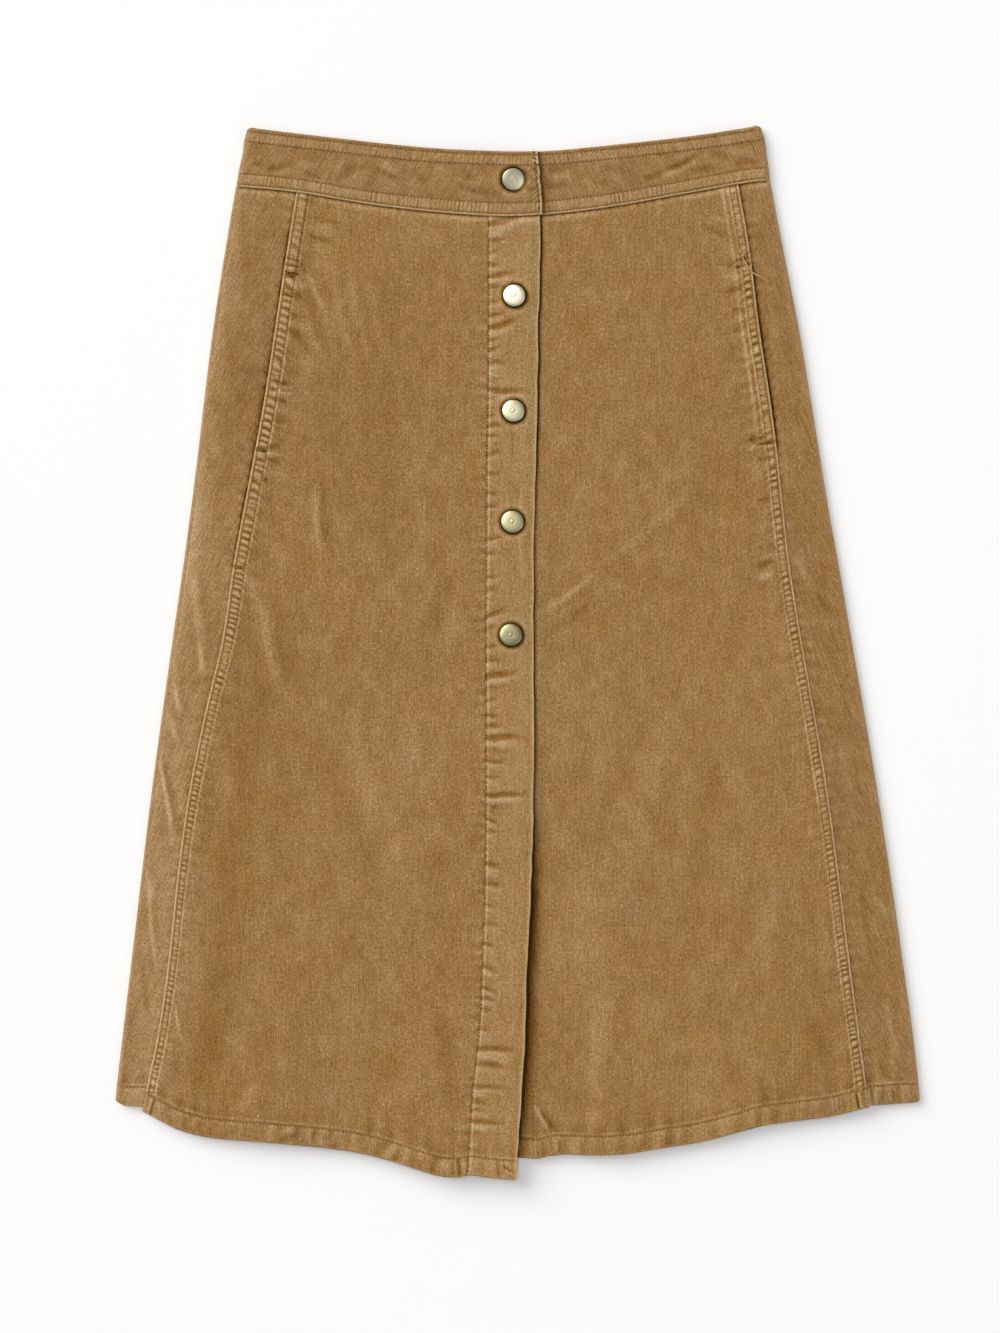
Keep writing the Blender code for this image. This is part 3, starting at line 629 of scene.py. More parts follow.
# Front panels
frontCreases = {
    -1: (
        (-139, 120, -136.5, 62, 3, 1.7, 0.24), (-135, 126, -129, 66, 3, 4.5, -0.2),
        (-239, -246, -234, -276, 1, 1.1, 0.4), (-158, 317, -138, 315, 0, 1.6, -0.36),
        (-147, 292, -127, 287, 1, 1.7, -0.34), (-144, 303, -120, 299, 0, 1.8, -0.2),
        (-147, 268, -131, 234, 2, 2.2, 0.3), (-162, 266, -153, 262.5, 0.5, 1.2, -0.5),
        (-167, 262, -150, 268, 2, 2.2, -0.3), (-168, 252, -146, 246, -1, 2.4, -0.34),
        (-166, 258, -144, 256, 1, 2, 0.3), (-172, 192, -158, 188, 2, 1.4, -0.55),
        (-171, 187, -156, 180, 2, 1.3, 0.4), (-174, 184, -160, 181, -1, 1.3, -0.5),
        (-174, 178, -160, 173, -1, 1.4, -0.45), (-173, 175, -156, 186, -3, 1.3, 0.35),
        (-174, 164, -162, 160, 1, 1.3, -0.35), (-182, 142, -165, 146, 1, 1.6, -0.4),
        (-182, 136, -164, 131, -1, 1.6, -0.4), (-183, 139, -162, 138, 0, 1.5, 0.35),
        (-186, 124, -172, 118, 0, 1.8, -0.28), (-158, 226, -140, 206, 1, 3, -0.3),
        (-130, 274, -112, 196, 3, 3, 0.17), (-118, 280, -99, 186, 3, 3.4, 0.16),
        (-104, 268, -90, 192, 2, 3.2, 0.12), (-146, 262, -128, 196, 3, 3.6, -0.16),
        (-84, 190, -70, 40, -5, 9, 0.18), (-40, 70, -70, -40, 5, 9, -0.18),
        (-214, -40, -190, -130, 4, 9, 0.2), (-178, 40, -164, -36, 3, 5, 0.3),
        (-190, 66, -176, 20, 2, 4, 0.28), (-120, -60, -60, -170, 6, 12, 0.2),
        (-55, -250, -40, -330, 3, 6, -0.22), (-180, -300, -196, -328, 2, 5, 0.25),
        (-34.3, -352, -33.8, -369, 0, 0.9, -1.3),
    ),
    1: (
        (12, 26, 60, 62, 3, 2.6, 0.3), (153.5, 281, 162.5, 269, 0, 0.9, -0.8),
        (162.5, 281, 154.5, 271, 0, 0.9, -0.8), (56, 60, 130, 126, 4, 5, 0.2), (16, 12, 60, 42, 2, 4, -0.18),
        (157, 268, 142, 271, 1, 1.5, -0.3), (157, 262, 138, 262, 1, 1.5, 0.25),
        (158, 255, 143, 252, -1, 1.6, -0.3), (159, 240, 148, 239, 0, 1.5, -0.35),
        (160, 226, 149, 224, 0, 1.5, -0.3), (162, 204, 150, 203, 0, 1.5, -0.3),
        (128, 300, 150, 290, 1, 2.2, -0.2), (132, 306, 152, 300, 1, 2, 0.15),
        (180, 150, 158, 147.5, 1, 1.4, -0.5), (176, 144, 158, 141, 1, 1.4, 0.3),
        (176, 136, 166, 133, 1, 1.2, -0.4), (178, 108, 166, 105, 0, 1.5, -0.35),
        (180, 64, 166, 58, 1, 2, -0.4), (180, 54, 166, 50, 1, 2, 0.35), (9.5, -316, 23, -338, -1, 1.5, 0.6),
        (14, -320, 27, -338, -1, 2.2, -0.5), (70, -130, 110, -40, 6, 12, 0.16),
        (150, -60, 120, -190, 6, 10, -0.16), (190, -150, 160, -240, 4, 9, 0.2),
        (60, -230, 56, -330, 3, 8, 0.2),
    ),
}
creaseDepth = 1.25  # share of the heights above
cornerFold = -34.1  # a fold through the right front's hem
fading = {  # broad changes of the fronts' tone: x, reach, y, reach, strength
    -1: ((-88, 30, -66, 40, 0.18), (-95, 45, 150, 110, -0.14), (-198, 22, -300, 40, -0.1)),
    1: ((215, 45, -275, 40, -0.2), (50, 24, -190, 50, 0.22)),
}
frontGrid = {  # columns by their distances from the seam and from the opening; step is the inner face's
    "seam": [*edgeRows[:5], *np.arange(1.35, 12, 0.75), *np.arange(12.5, 30, 1.6)],
    "opening": [-12, -10.6, -9.2, -7.9, -6.7, -5.6, -4.6, -3.7, -2.9, -2.2, -1.5, -0.9, -0.4, 0],
    "between": 62,
    "rows": 630,
    "step": 5,
}


def hangsFree(y):  # 1 where the placket isn't snapped, less near the hem
    return under(y, cloth["gapeFrom"], 90) * (1 - 0.5 * under(y, -290, 50))


def besidePlacket(beside, y):  # painted shade along the upper placket's edge, narrow where snapped and wide where it hangs free, and a strip of painted light beyond it where snapped
    shade = np.interp(-y, *edgeShade) * groove(beside - 0.4, 1) + 2 * hangsFree(y) * groove(beside, 6)
    return 0.25 * over(y, -110, 60) * groove(beside - 3.2, 2) - shade


def buildFront(name, side, material, seed):
    def innerEdge(y):
        return underSeam(y) + cloth["seamGap"] if side > 0 else placketSeam(y) - cloth["seamGap"]

    shares, offsets = spread(frontGrid["seam"], frontGrid["between"], frontGrid["opening"])
    x, y, w, h = laidGrid(
        seams[side], innerEdge, shares, -side * offsets, belowBand, hems[side], frontGrid["rows"]
    )
    # Distances: w from the band, h from the hem's edge, e from the seam and p from the opening
    e = side * (seams[side](y) - x)
    p = np.abs(innerEdge(y) - x)
    seamHeight, wearAndShading = seamRelief(e, y, side, seed)
    gather = 1 - 0.55 * over(np.abs(x), 165, 50)  # less towards the sides
    endHeight, endWearAndShading = atEnds(x, w, h, seed + 20, seed + 30, gather)
    above = over(h, 10, 8)
    line = creaseDepth * creases(x, y, frontCreases[side])
    relief = seamHeight * above + endHeight + line + rumples(x, y, seed + 40)
    # the creases painted light and dark with their height
    wearAndShading = wearAndShading * above + endWearAndShading + 0.3 * line
    # painted shade in the fold through the hem's corner
    wearAndShading -= 1.2 * groove(x - cornerFold, 0.9) * within(h, 1, 9.5, 2)
    turnedUp = within(h, 1, cloth["hemStitch"] - 1, 2)  # the seam shows through the turned-up hem, painted light on its ridge and painted shade beside it
    past = e - innerRowAt(y, side) + 0.1 * (cloth["hemStitch"] - h)
    relief += turnedUp * ridges(past, ((0, 1, 0.3), (1.4, 0.9, -0.3)))
    wearAndShading += turnedUp * (ridges(past, ((0, 0.8, 0.9), (1.4, 0.8, -0.9))) + 0.6 * groove(e - 0.5, 0.8))
    for x0, reachX, y0, reachY, strength in fading[side]:
        wearAndShading += strength * groove(x - x0, reachX) * groove(y - y0, reachY)
    if side < 0:
        # darker further in from the seam higher up, and painted light over the slope beside the lower seam
        wearAndShading -= 0.22 * groove(e - 36, 15) * under(y, 50, 70)
        wearAndShading += 0.32 * groove(e - 12, 11) * under(y, -120, 60)
        # puckers beside the placket painted light and dark with their height, and painted shade at its seam
        near = np.exp(-p / 6) * ripples(y, p, 8, seed + 50)
        relief += 0.22 * near - 0.1 * groove(p, 0.9)
        wearAndShading += 0.2 * near - 0.1 * groove(p, 0.7)
    else:
        # painted shade and light beside the placket's edge, and painted light on the fold at the seam where it
        # hangs free
        wearAndShading += besidePlacket(x - placketEdge(y), y) + 0.3 * groove(p, 0.9) * hangsFree(y)
    wearAndShading += ridgeWearAndHollowShade(relief)
    drop = np.maximum(rounding(e, foldRadius["single"]), rounding(h, foldRadius["hem"]))
    wall = wallAt(h) + drop * np.where(h < 3, 0, 0.3)
    relief = relief * ease(e / 0.8 + 0.2) * ease(h / 1.2)
    return panel(name, x, y, frontFace(x, y, side), relief, drop, wall, wearAndShading, frontGrid["step"], material)


# Pieces that go round a side fold: the side panels and the band's halves
def wrap(name, side, spec, reliefOf, material):
    radius, lean = spec["radius"], spec["lean"]
    count, topRows, roundTop = spec["rows"], spec["topRows"], len(spec["topRows"]) > 1
    footAt, topAt = spec["corners"]

    def fold(y):  # rounded in plan at its two ends
        inset = rounding(y - footAt, spec["cornerRadius"])
        if roundTop:
            inset = inset + rounding(topAt - y, spec["cornerRadius"])
        return spec["fold"](y) - side * inset

    def flat(y):
        return fold(y) - side * radius

    def fromEnds(fromTop, fromFoot):
        return np.minimum(fromTop, fromFoot) if roundTop else fromFoot

    shares, offsets = spread(spec["startColumns"], spec["columns"], [-1.6, -0.8, 0])
    x, y, fromTop, fromFoot = laidGrid(
        spec["start"], flat, shares, side * offsets, spec["top"], spec["foot"], count, topRows
    )
    relief, wearAndShading, startDrop = reliefOf(x, y, fromTop, fromFoot)
    calm = mix(0.25, 1, ease(side * (fold(y) - x) / 9))
    ends = fromEnds(fromTop, fromFoot)
    drop = np.maximum(rounding(ends, spec["edgeRadius"]), startDrop)
    z = spec["face"](x, y)
    outers = [grid3(x, y, z + relief * calm * ease(ends / 1.1) - drop)]
    inners = [grid3(x, y, z - spec["wall"](fromFoot) + drop)]
    uvs = [grainUv(x, y, lean)]
    allWearAndShading = [wearAndShading + calm * ridgeWearAndHollowShade(relief)]

    turn = (pi / 2 - pi * np.arange(1, spec["turns"]) / spec["turns"])[:, None]
    one = np.array([cloth["waistLevel"]])
    top = np.repeat(crossing(fold, spec["top"], one), len(turn))
    foot = np.repeat(crossing(fold, spec["foot"], spec["foot"](fold(one))), len(turn))
    y = levels(top, foot, count, topRows)
    drop = rounding(fromEnds(top[:, None] - y, y - foot[:, None]), spec["edgeRadius"])
    for parts, depth in ((outers, drop), (inners, spec["wall"](y - foot[:, None]) - drop)):
        reach = radius - depth
        parts.append(grid3(fold(y) - side * (radius - reach * np.cos(turn)), y, radius + reach * np.sin(turn)))
    uvs.append(grainUv(flat(y) + side * radius * (pi / 2 - turn), y, lean))
    allWearAndShading.append(spec["rimWearAndLight"] * np.cos(turn) + spec["footWear"] * groove(y - foot[:, None], 0.9))

    shares = np.linspace(0, 1, spec["backColumns"])
    x, y, fromTop, fromFoot = laidGrid(
        flat, spec["backEdge"], shares, 0 * shares, spec["top"], spec["footBack"], count, topRows
    )
    drop = rounding(fromEnds(fromTop, fromFoot), spec["edgeRadius"])
    dent = sum(0.3 * groove(row(fromTop, fromFoot), 0.7) for row in spec["rowsBehind"])
    outers.append(grid3(x, y, dent + drop))
    inners.append(grid3(x, y, spec["wall"](fromFoot) - drop))
    uvs.append(grainUv(flat(y) + side * (pi * radius + np.abs(x - flat(y))), y, lean))
    # painted shade in the stitched dents behind
    allWearAndShading.append(spec["footWear"] * groove(fromFoot, 0.9) - 2 * dent)
    joined = [np.concatenate(parts) for parts in (outers, inners, uvs, allWearAndShading)]
    return shell(name, *joined, spec["step"], material)


foldWearAndLight = (  # how much the right fold is lightened, for wearing and with painted light, from the waist down
    (-306, -274, -238, -201, -165, -128, -92, -55, -19, 54, 90, 127, 163, 200, 236, 273, 309),
    (0.8, 1.2, 1.6, 1.2, 0.4, 0.9, 1.9, 1.5, 0.8, 0.5, 0.8, 0.1, 0.1, -0.4, -0.5, -0.7, -1),
)
sideCreases = {
    -1: (
        (-262, -36, -240.5, -140, -3, 1.6, 0.85), (-254, -66, -236, -136, -2, 4, -0.35),
        (-223.5, 8, -219.5, -18, 0, 1.8, 0.6), (-227, 62, -218, -8, 2, 3.4, 0.4),
        (-243, 26, -240, -24, 1, 2.2, 0.4), (-241, -18, -236, -46, 0, 1.9, 0.6),
        (-244, -44, -237, -68, 0, 2.4, 0.5), (-262, -150, -252, -176, 1.5, 4, 0.5),
        (-258, -158, -251, -230, 1.5, 1.8, 0.5), (-262, -212, -257, -262, 1, 2.4, -0.3),
        (-216, 180, -206, 120, 2, 5, 0.25), (-204, 250, -196, 190, 2, 5, -0.2),
        (-252, -286, -262, -304, 0, 2, 0.3),
    ),
    1: (
        (196, 70, 212, 30, 2, 4, 0.3), (203, 46, 224, 22, -1, 3, -0.25), (226, -60, 238, -110, 2, 4, 0.25),
        (176, 250, 190, 180, 2, 5, 0.2), (240, -160, 252, -230, 1, 4, -0.2),
        (250, -170, 262, -190, 0, 2.2, 0.25), (256, -240, 266, -290, 0, 3, 0.2),
        (250, -298, 266, -304, 0, 2, 0.3),
    ),
}


def buildSide(name, side, material, seed):
    seamLine, hemLine, foldLine = seams[side], sideHems[side], folds[side]

    def reliefOf(x, y, w, h):
        e = side * (x - seamLine(y))
        line = creases(x, y, sideCreases[side])
        endHeight, wearAndShading = atEnds(x, w, h, seed, seed + 12, 0.5)
        relief = line + rumples(x, y, seed + 5) + endHeight
        past = np.maximum(e, 0)
        relief += 0.25 * np.exp(-past / 6) * ripples(y, e, 9, seed + 8)
        slit = over(y, slitFoot[side], 8) * (1 - 0.45 * over(y, slitTop, 8))
        beside = np.exp(-past / 5)
        relief += 0.35 * slit * beside * ripples(y - 0.8 * e, e, 7, seed + 31)
        shade = np.interp(-y, *slitShade[side]) * (1 + 0.35 * softNoise(y, 0, 12, seed + 36))
        shade = shade * ridges(e, ((0.6, 1, 1), (2, 2.5, 0.25 * (side < 0))))
        shade = shade + np.interp(-y, *besideSlitShade[side]) * beside
        # creases painted light and dark with their height, less the painted shade beside the seam
        wearAndShading += 0.35 * line - shade
        # lighter towards the hem and darker at the top on the right side panel, a little darker on the left one
        wearAndShading += mix(0.45, -0.24, over(y, -260, 480)) if side < 0 else -0.1
        # the folds made pale, for wearing and with painted light where the cloth turns away from the lamps
        rim = np.abs(foldLine(y) - x)
        if side < 0:
            wearAndShading += np.interp(-y, *foldWearAndLight) * np.exp(-rim / 9)
        uneven = np.clip(0.9 + 0.5 * softNoise(y, 0, 60, seed + 33), 0.3, 1.4)
        wearAndShading += 1.1 * uneven * np.exp(-rim / 1.7)
        return relief * over(e, -1, 2), wearAndShading, 0

    spec = {
        "start": lambda y: seamLine(y) - side * (cloth["allowance"] - cloth["gap"]),
        "startColumns": [0, 2.5, 5, 7, 8, 8.7, 9.4, 10.1, 10.9, 11.8, 12.8],
        "columns": 22,
        "backColumns": 16,
        "backEdge": lambda y: seamLine(y) + side * cloth["seamGap"] / 2,
        "fold": foldLine,
        "radius": cloth["foldHeight"] / 2,
        "face": underFace if side > 0 else overFace,
        "top": belowBand,
        "foot": hemLine,
        "footBack": backHem,
        "rows": 430,
        "topRows": plainRow,
        "turns": 14,
        "step": 4,
        "edgeRadius": foldRadius["hem"],
        "corners": (float(hemLine(foldLine(-300))), 400),
        "cornerRadius": 3,
        "wall": wallAt,
        "lean": -21 if side > 0 else 22,
        "footWear": 0.4,
        "rimWearAndLight": 1.1 if side > 0 else 0.7,
        "rowsBehind": (lambda top, foot: foot - cloth["hemStitch"],),
    }
    return wrap(name, side, spec, reliefOf, material)


# Waistband
band = {
    "topRow": 2.6,
    "secondRow": 9.6,
    "lowerRow": 9.2,  # above the lower edge
    "edgeRow": 1.8,
    "endRow": 2.5,
    "ribPitch": 2.9,
    "rib": 0.34,
    "bias": 0.14,
    # place, reach and strength of the most gathered stretches, and of the seams' bulk below
    "ribbed": (
        (-170, 9, 0.9), (-91, 16, 0.5), (-62, 10, 0.7), (-28, 13, 0.5), (13, 8, 0.7), (70, 12, 1.2),
        (98, 10, 0.4),
    ),
    "bulk": ((-155.4, 1.3, 0.5), (-23.1, 1.3, 0.5), (154.7, 1.3, 0.5)),
}
bandRows = (
    lambda top, foot: top - band["topRow"],
    lambda top, foot: top - band["secondRow"],
    lambda top, foot: foot - band["lowerRow"],
    lambda top, foot: foot - band["edgeRow"],
)
bandCreases = {
    -1: (
        (-186, 341.8, -177, 340.5, 0, 2, -0.35), (-178, 337, -154, 343.5, 1, 2.6, -0.5),
        (-170, 331.5, -158, 334, 0, 2.2, 0.35), (-156, 342.4, -138, 339, 1, 3, 0.26),
        (-150, 336.3, -134, 330, 1, 2.8, -0.42), (-128.3, 329.6, -112, 336, -1, 2.8, -0.4),
        (-124, 339, -99, 340, 1, 2.6, -0.4), (-103, 341, -80, 329, 1, 2.6, -0.4),
        (-97.6, 343, -75, 332, 1, 3, 0.2), (-117, 334, -101, 329, 0, 3, 0.22),
        (-72.9, 339.9, -62.5, 324.8, 1, 3.2, -0.3), (-58.6, 341.8, -44.8, 332.7, 0, 3.8, 0.22),
        (-46, 327.2, -10, 319.2, 1, 2.6, -0.4), (-40, 338, -28, 330, 1, 3, -0.3),
        (-18, 341, -6, 343, 0, 2, -0.4), (4, 338, 12, 334, 0, 1.6, -0.5), (5, 325, 13, 322, 0, 1.6, -0.4),
        (5.5, 339.5, 13, 331, 0, 0.9, 0.6), (4.5, 336.5, 12, 328, 0, 1, -0.6),
        (7.5, 341.5, 13.5, 335, 0, 1, -0.6),
    ),
    1: (
        (17, 325.5, 36.5, 328.1, 1, 2.4, -0.4), (23.5, 331.5, 40.4, 333.3, 0, 3, 0.3),
        (20, 338, 34, 336, 0, 2.6, -0.3), (50, 331, 66, 327, 1, 3, -0.3), (58, 341, 82, 336, 1, 3.6, -0.35),
        (86, 331.5, 104.2, 335.7, 1, 2.4, -0.55), (97, 331.5, 129, 346, 2, 2.4, 0.34),
        (101, 337, 128, 350, 2, 2.2, -0.7), (132.9, 349.3, 149.2, 345.6, 0, 3.5, -0.55),
        (118, 337, 140, 340.5, 1, 2.6, -0.35), (147, 349, 166, 350.5, 0, 3, 0.35),
        (150, 341, 172, 344, 0, 2.4, -0.4),
    ),
}


def buildBand(name, side, material, seed):
    frontEdge, foldLine = underEdge if side > 0 else bandEnd, bandFolds[side]

    def reliefOf(x, y, fromTop, fromFoot):
        rib = ripples(x - side * 0.12 * fromTop, fromTop, band["ribPitch"], seed)
        topStrip = within(fromTop, band["topRow"] + 0.6, band["secondRow"], 1.8)
        footStrip = within(fromFoot, band["edgeRow"] + 0.6, band["lowerRow"], 1.8)
        middle = over(fromTop, band["secondRow"], 4) * over(fromFoot, band["lowerRow"], 4)
        slant = side * 0.6
        bias = softNoise(x + slant * fromTop, fromTop - slant * x, (17, 8), seed + 2)
        patchy = np.clip(0.3 + 0.5 * softNoise(x, 0, 24, seed + 6), 0.1, 0.8) + ridges(x, band["ribbed"])
        relief = band["rib"] * rib * (0.75 * topStrip + patchy * footStrip) + 0.18 * (topStrip + footStrip)
        relief += 0.1 * softNoise(x, fromTop, 5, seed + 3) + 0.35 * groove(fromFoot - 0.7, 0.7)
        relief += middle * (creases(x, y, bandCreases[side]) + band["bias"] * bias)
        relief += ridges(x, band["bulk"]) * footStrip
        # the ribs painted light and dark with their height
        wearAndShading = (0.2 + 0.24 * patchy * rib) * footStrip + 0.05 * topStrip - 0.05
        # the folded edges made pale, and the fold made lighter: painted light where the band turns away from
        # the lamps
        wearAndShading += 1.8 * groove(fromFoot - 0.4, 0.75) + 0.5 * groove(fromTop, 0.8)
        wearAndShading += 0.5 * np.exp(-np.abs(x - foldLine(y)) / 3)
        # painted shade in the stitched rows
        for row in bandRows:
            relief -= 0.3 * groove(row(fromTop, fromFoot), 0.55)
            wearAndShading -= 0.3 * groove(row(fromTop, fromFoot), 0.5)
        fromEnd = side * (x - frontEdge(y))
        corner = groove(fromTop - 5.5, 4.5) * groove(fromEnd - 1.5, 2.6)  # bunched where the end is turned in
        bunched = corner * ripples(y - 0.5 * fromEnd, fromEnd, 2.6, seed + 24)
        broken = 2.4 + 1.3 * softNoise(y, 0, 3.2, seed + 22)
        relief += 0.4 * np.exp(-fromEnd / 5) * ripples(y + 0.6 * fromEnd, fromEnd, 4.2, seed + 21)
        relief += 0.5 * bunched - 0.3 * groove(fromEnd - band["endRow"], 0.6)
        # the bunched corner painted light and dark with its height, painted light on the end's folded edge and
        # painted shade at its stitched row
        wearAndShading += 1.6 * bunched + ridges(fromEnd, ((0.5, 0.65, broken), (band["endRow"], 0.5, -0.5)))
        if side < 0:
            relief += snapDip(x, y)
            wearAndShading -= snapShade(x, y)
        else:
            # painted shade on the left band beside the right band's end
            beyond = x - bandEnd(y)
            wearAndShading -= 1.5 * groove(beyond - 0.6, 1.2) * (beyond > -3)
        return relief * ease(fromEnd + 0.2), wearAndShading, rounding(fromEnd, foldRadius["band"])

    spec = {
        "start": frontEdge,
        "startColumns": [0, 0.08, 0.3, 0.6, 1, 1.5, 2, 2.5, 3, 3.6, 4.3, 5.1],
        "columns": 205 if side < 0 else 165,
        "backColumns": 70,
        "backEdge": lambda y: side * cloth["seamGap"] / 2 + 0 * y,
        "fold": foldLine,
        "radius": (cloth["foldHeight"] + cloth["bandProud"]) / 2,
        "face": lambda x, y: bandFace(x, y, side),
        "top": topEdge,
        "foot": waistSeam,
        "footBack": waistSeam,
        "rows": 56,
        "topRows": edgeRows,
        "turns": 14,
        "step": 4,
        "edgeRadius": foldRadius["band"],
        "corners": (float(waistSeam(foldLine(325))) - 9, float(topEdge(foldLine(365)))),
        "cornerRadius": 2.4,
        "wall": lambda h: cloth["bandWall"] + 0 * h,
        "lean": -25 if side > 0 else 30,
        "footWear": 0.9,
        "rimWearAndLight": 0.9 if side > 0 else 0.5,
        "rowsBehind": bandRows,
    }
    return wrap(name, side, spec, reliefOf, material)


# Plackets
placketCreases = (  # level, reach across, rise over that reach, half width, height
    (299, 28, 7, 2.6, -0.62), (290, 15, 3, 1.8, 0.36), (279, 9, 2, 1.4, -0.3), (270, 12, 3, 1.8, -0.34),
    (262.5, 22, 3.5, 1.7, -0.55), (258, 17, 2, 1.7, 0.32), (244, 12, 3, 1.5, -0.3), (235, 15, 4, 1.8, -0.42),
    (227, 26, 8, 2.3, -0.5), (218, 9, 2, 1.5, -0.34), (211, 10, 2, 1.5, -0.34), (202, 16, 2, 1.9, -0.38),
    (193, 14, 1.5, 1.8, 0.22), (183, 35, -1.5, 2.2, -0.5), (177, 12, 3.5, 1.6, -0.34),
    (165, 9, 1.5, 1.3, -0.3), (158, 16, 1, 1.7, -0.36), (150, 10, 1.5, 1.5, -0.28), (138, 14, 2, 1.8, -0.26),
    (124, 12, 1.5, 1.6, -0.28), (111, 15, 1, 2, -0.24), (101, 10, 2, 1.5, -0.32), (79, 14, 2.5, 1.7, -0.34),
    (69, 12, 1.5, 1.6, -0.26), (52, 12, 2.5, 1.7, -0.26), (43, 10, 1.5, 1.5, -0.26), (25, 17, 6, 1.7, -0.5),
    (20, 12, 3, 1.6, 0.25), (3.5, 12, 1.5, 1.7, -0.32), (-6, 16, 0.5, 1.8, -0.28), (-17, 27, 4.5, 2.2, -0.55),
    (-22, 20, 3, 1.6, 0.28), (-34, 10, 1, 1.5, -0.3), (-44, 13, -1, 1.6, -0.3), (-52, 16, 0.5, 1.9, -0.36),
    (-60, 30, 1, 2.1, -0.52), (-66, 22, 0, 1.6, 0.3), (-76, 17, -2, 1.5, -0.42), (-88, 12, -1, 1.5, -0.28),
    (-100.5, 33, 1.5, 1.8, -0.85), (-105, 24, 1, 1.7, 0.34), (-117, 12, -5, 1.5, -0.4),
    (-126, 11, 0, 1.5, -0.42), (-148, 15, -3, 1.9, -0.4), (-155, 12, -2, 1.6, 0.25),
    (-162, 17, -2.5, 1.8, -0.42), (-176, 12, -2, 1.7, -0.28), (-190, 15, -2, 1.8, -0.3),
    (-203, 13, -5, 1.7, -0.38), (-219, 14, -6, 1.7, -0.55), (-224, 12, -5, 1.6, 0.3),
    (-234.5, 15, -5.5, 1.7, -0.5), (-241.5, 14, -3.5, 1.6, -0.5), (-250, 12, -1, 1.7, -0.34),
    (-263, 10, -1, 1.6, -0.3), (-277, 33, -1, 1.9, -0.72), (-283, 30, -5, 1.8, 0.35),
    (-288, 32, -4.5, 1.7, -0.3), (-303, 32, -3.5, 1.6, -0.5), (-309, 16, -2, 1.5, 0.3),
    (-314, 14, -3.5, 1.6, -0.45), (-319.5, 15, -2, 1.6, -0.42), (-327.5, 32, -2.5, 1.7, -0.52),
    (-333, 18, -1, 1.5, 0.28), (-345, 14, 0, 1.8, 0.2),
)
placketDepth = (1.45, 2.1)  # share of those heights near the hem and above
placketGrid = {  # columns by their distances from the seam and from the free edge
    "seam": [0, 0.35, 0.7, 1.1, 1.5, 2, 2.6, 3.3],
    "edge": [-3.2, -2.5, -1.9, -1.4, -1.05, -0.7, -0.42, -0.2, -0.05, 0],
    "between": 36,
    "rows": 660,
    "step": 4,
}
placketFolds = (
    (3.1, 122, 2.4, 44, 0.5, 2, 0.28), (-3.7, 156, -4.2, 126, 0, 1.8, -0.3),
    (-11, -358, -1.5, -364.5, 0.6, 0.9, -0.9), (-9, -361.5, -2, -366, 0.3, 1, 0.5),
)
edgeShade = (  # how dark the painted shade in the gap beside the upper placket's edge is, from the waist down
    (-306, -228, -156, -120, -92, -46, 0, 54, 97), (2.8, 2.3, 2.6, 1.6, 1, 1.3, 1.4, 1.8, 1.4),
)
snaps = {
    # place, lean of the cap to +X and to +Y in degrees, and how far its brass is darkened: a duller brass
    # together with painted shade, set per cap for how the light falls on it
    "places": (
        (-3.5, 330.4, 10.5, -8, 0.1), (-2.5, 249, -7.5, 4.5, -0.45), (-3.2, 168.5, -3, 4.5, 0.3),
        (-3.9, 91, -3, 3, 0.95), (-4.9, 11.9, -4.5, 3, 1.4),
    ),
    # radius and height from the seat up: a turned rim and a low dome
    "profile": (
        (7.6, 0), (8.3, 0.05), (8.55, 0.2), (8.62, 0.42), (8.5, 0.66), (8.2, 0.86), (7.8, 1.02), (7.45, 1.2),
        (7.05, 1.37), (6.6, 1.52), (5.8, 1.69), (4.7, 1.83), (3.6, 1.92), (2.7, 1.97), (2, 1.99),
        (1.75, 1.93), (1.45, 1.94), (1.1, 2.07), (0.6, 2.14),
    ),
    "crown": 2.16,
    "steps": 72,
    "reach": 8.6,
    # radii round a cap: of the cloth that it presses down, of the painted shade line beside it and of the swell
    "pressed": 9.4,
    "shade": 8.9,
    "swell": 11.5,
}


def snapDip(x, y):  # cloth pressed down round each cap
    total = blank(x, y)
    for place in snaps["places"]:
        d = np.hypot(x - place[0], y - place[1])
        total += 0.2 * groove(d - snaps["swell"], 2) - 0.35 * np.exp(-((d / snaps["pressed"]) ** 4))
    return total


def snapShade(x, y):  # painted shade on the cloth round each cap
    distances = (np.hypot(x - place[0], y - place[1]) for place in snaps["places"])
    return sum(1.3 * groove(d - snaps["shade"], 0.9) for d in distances)


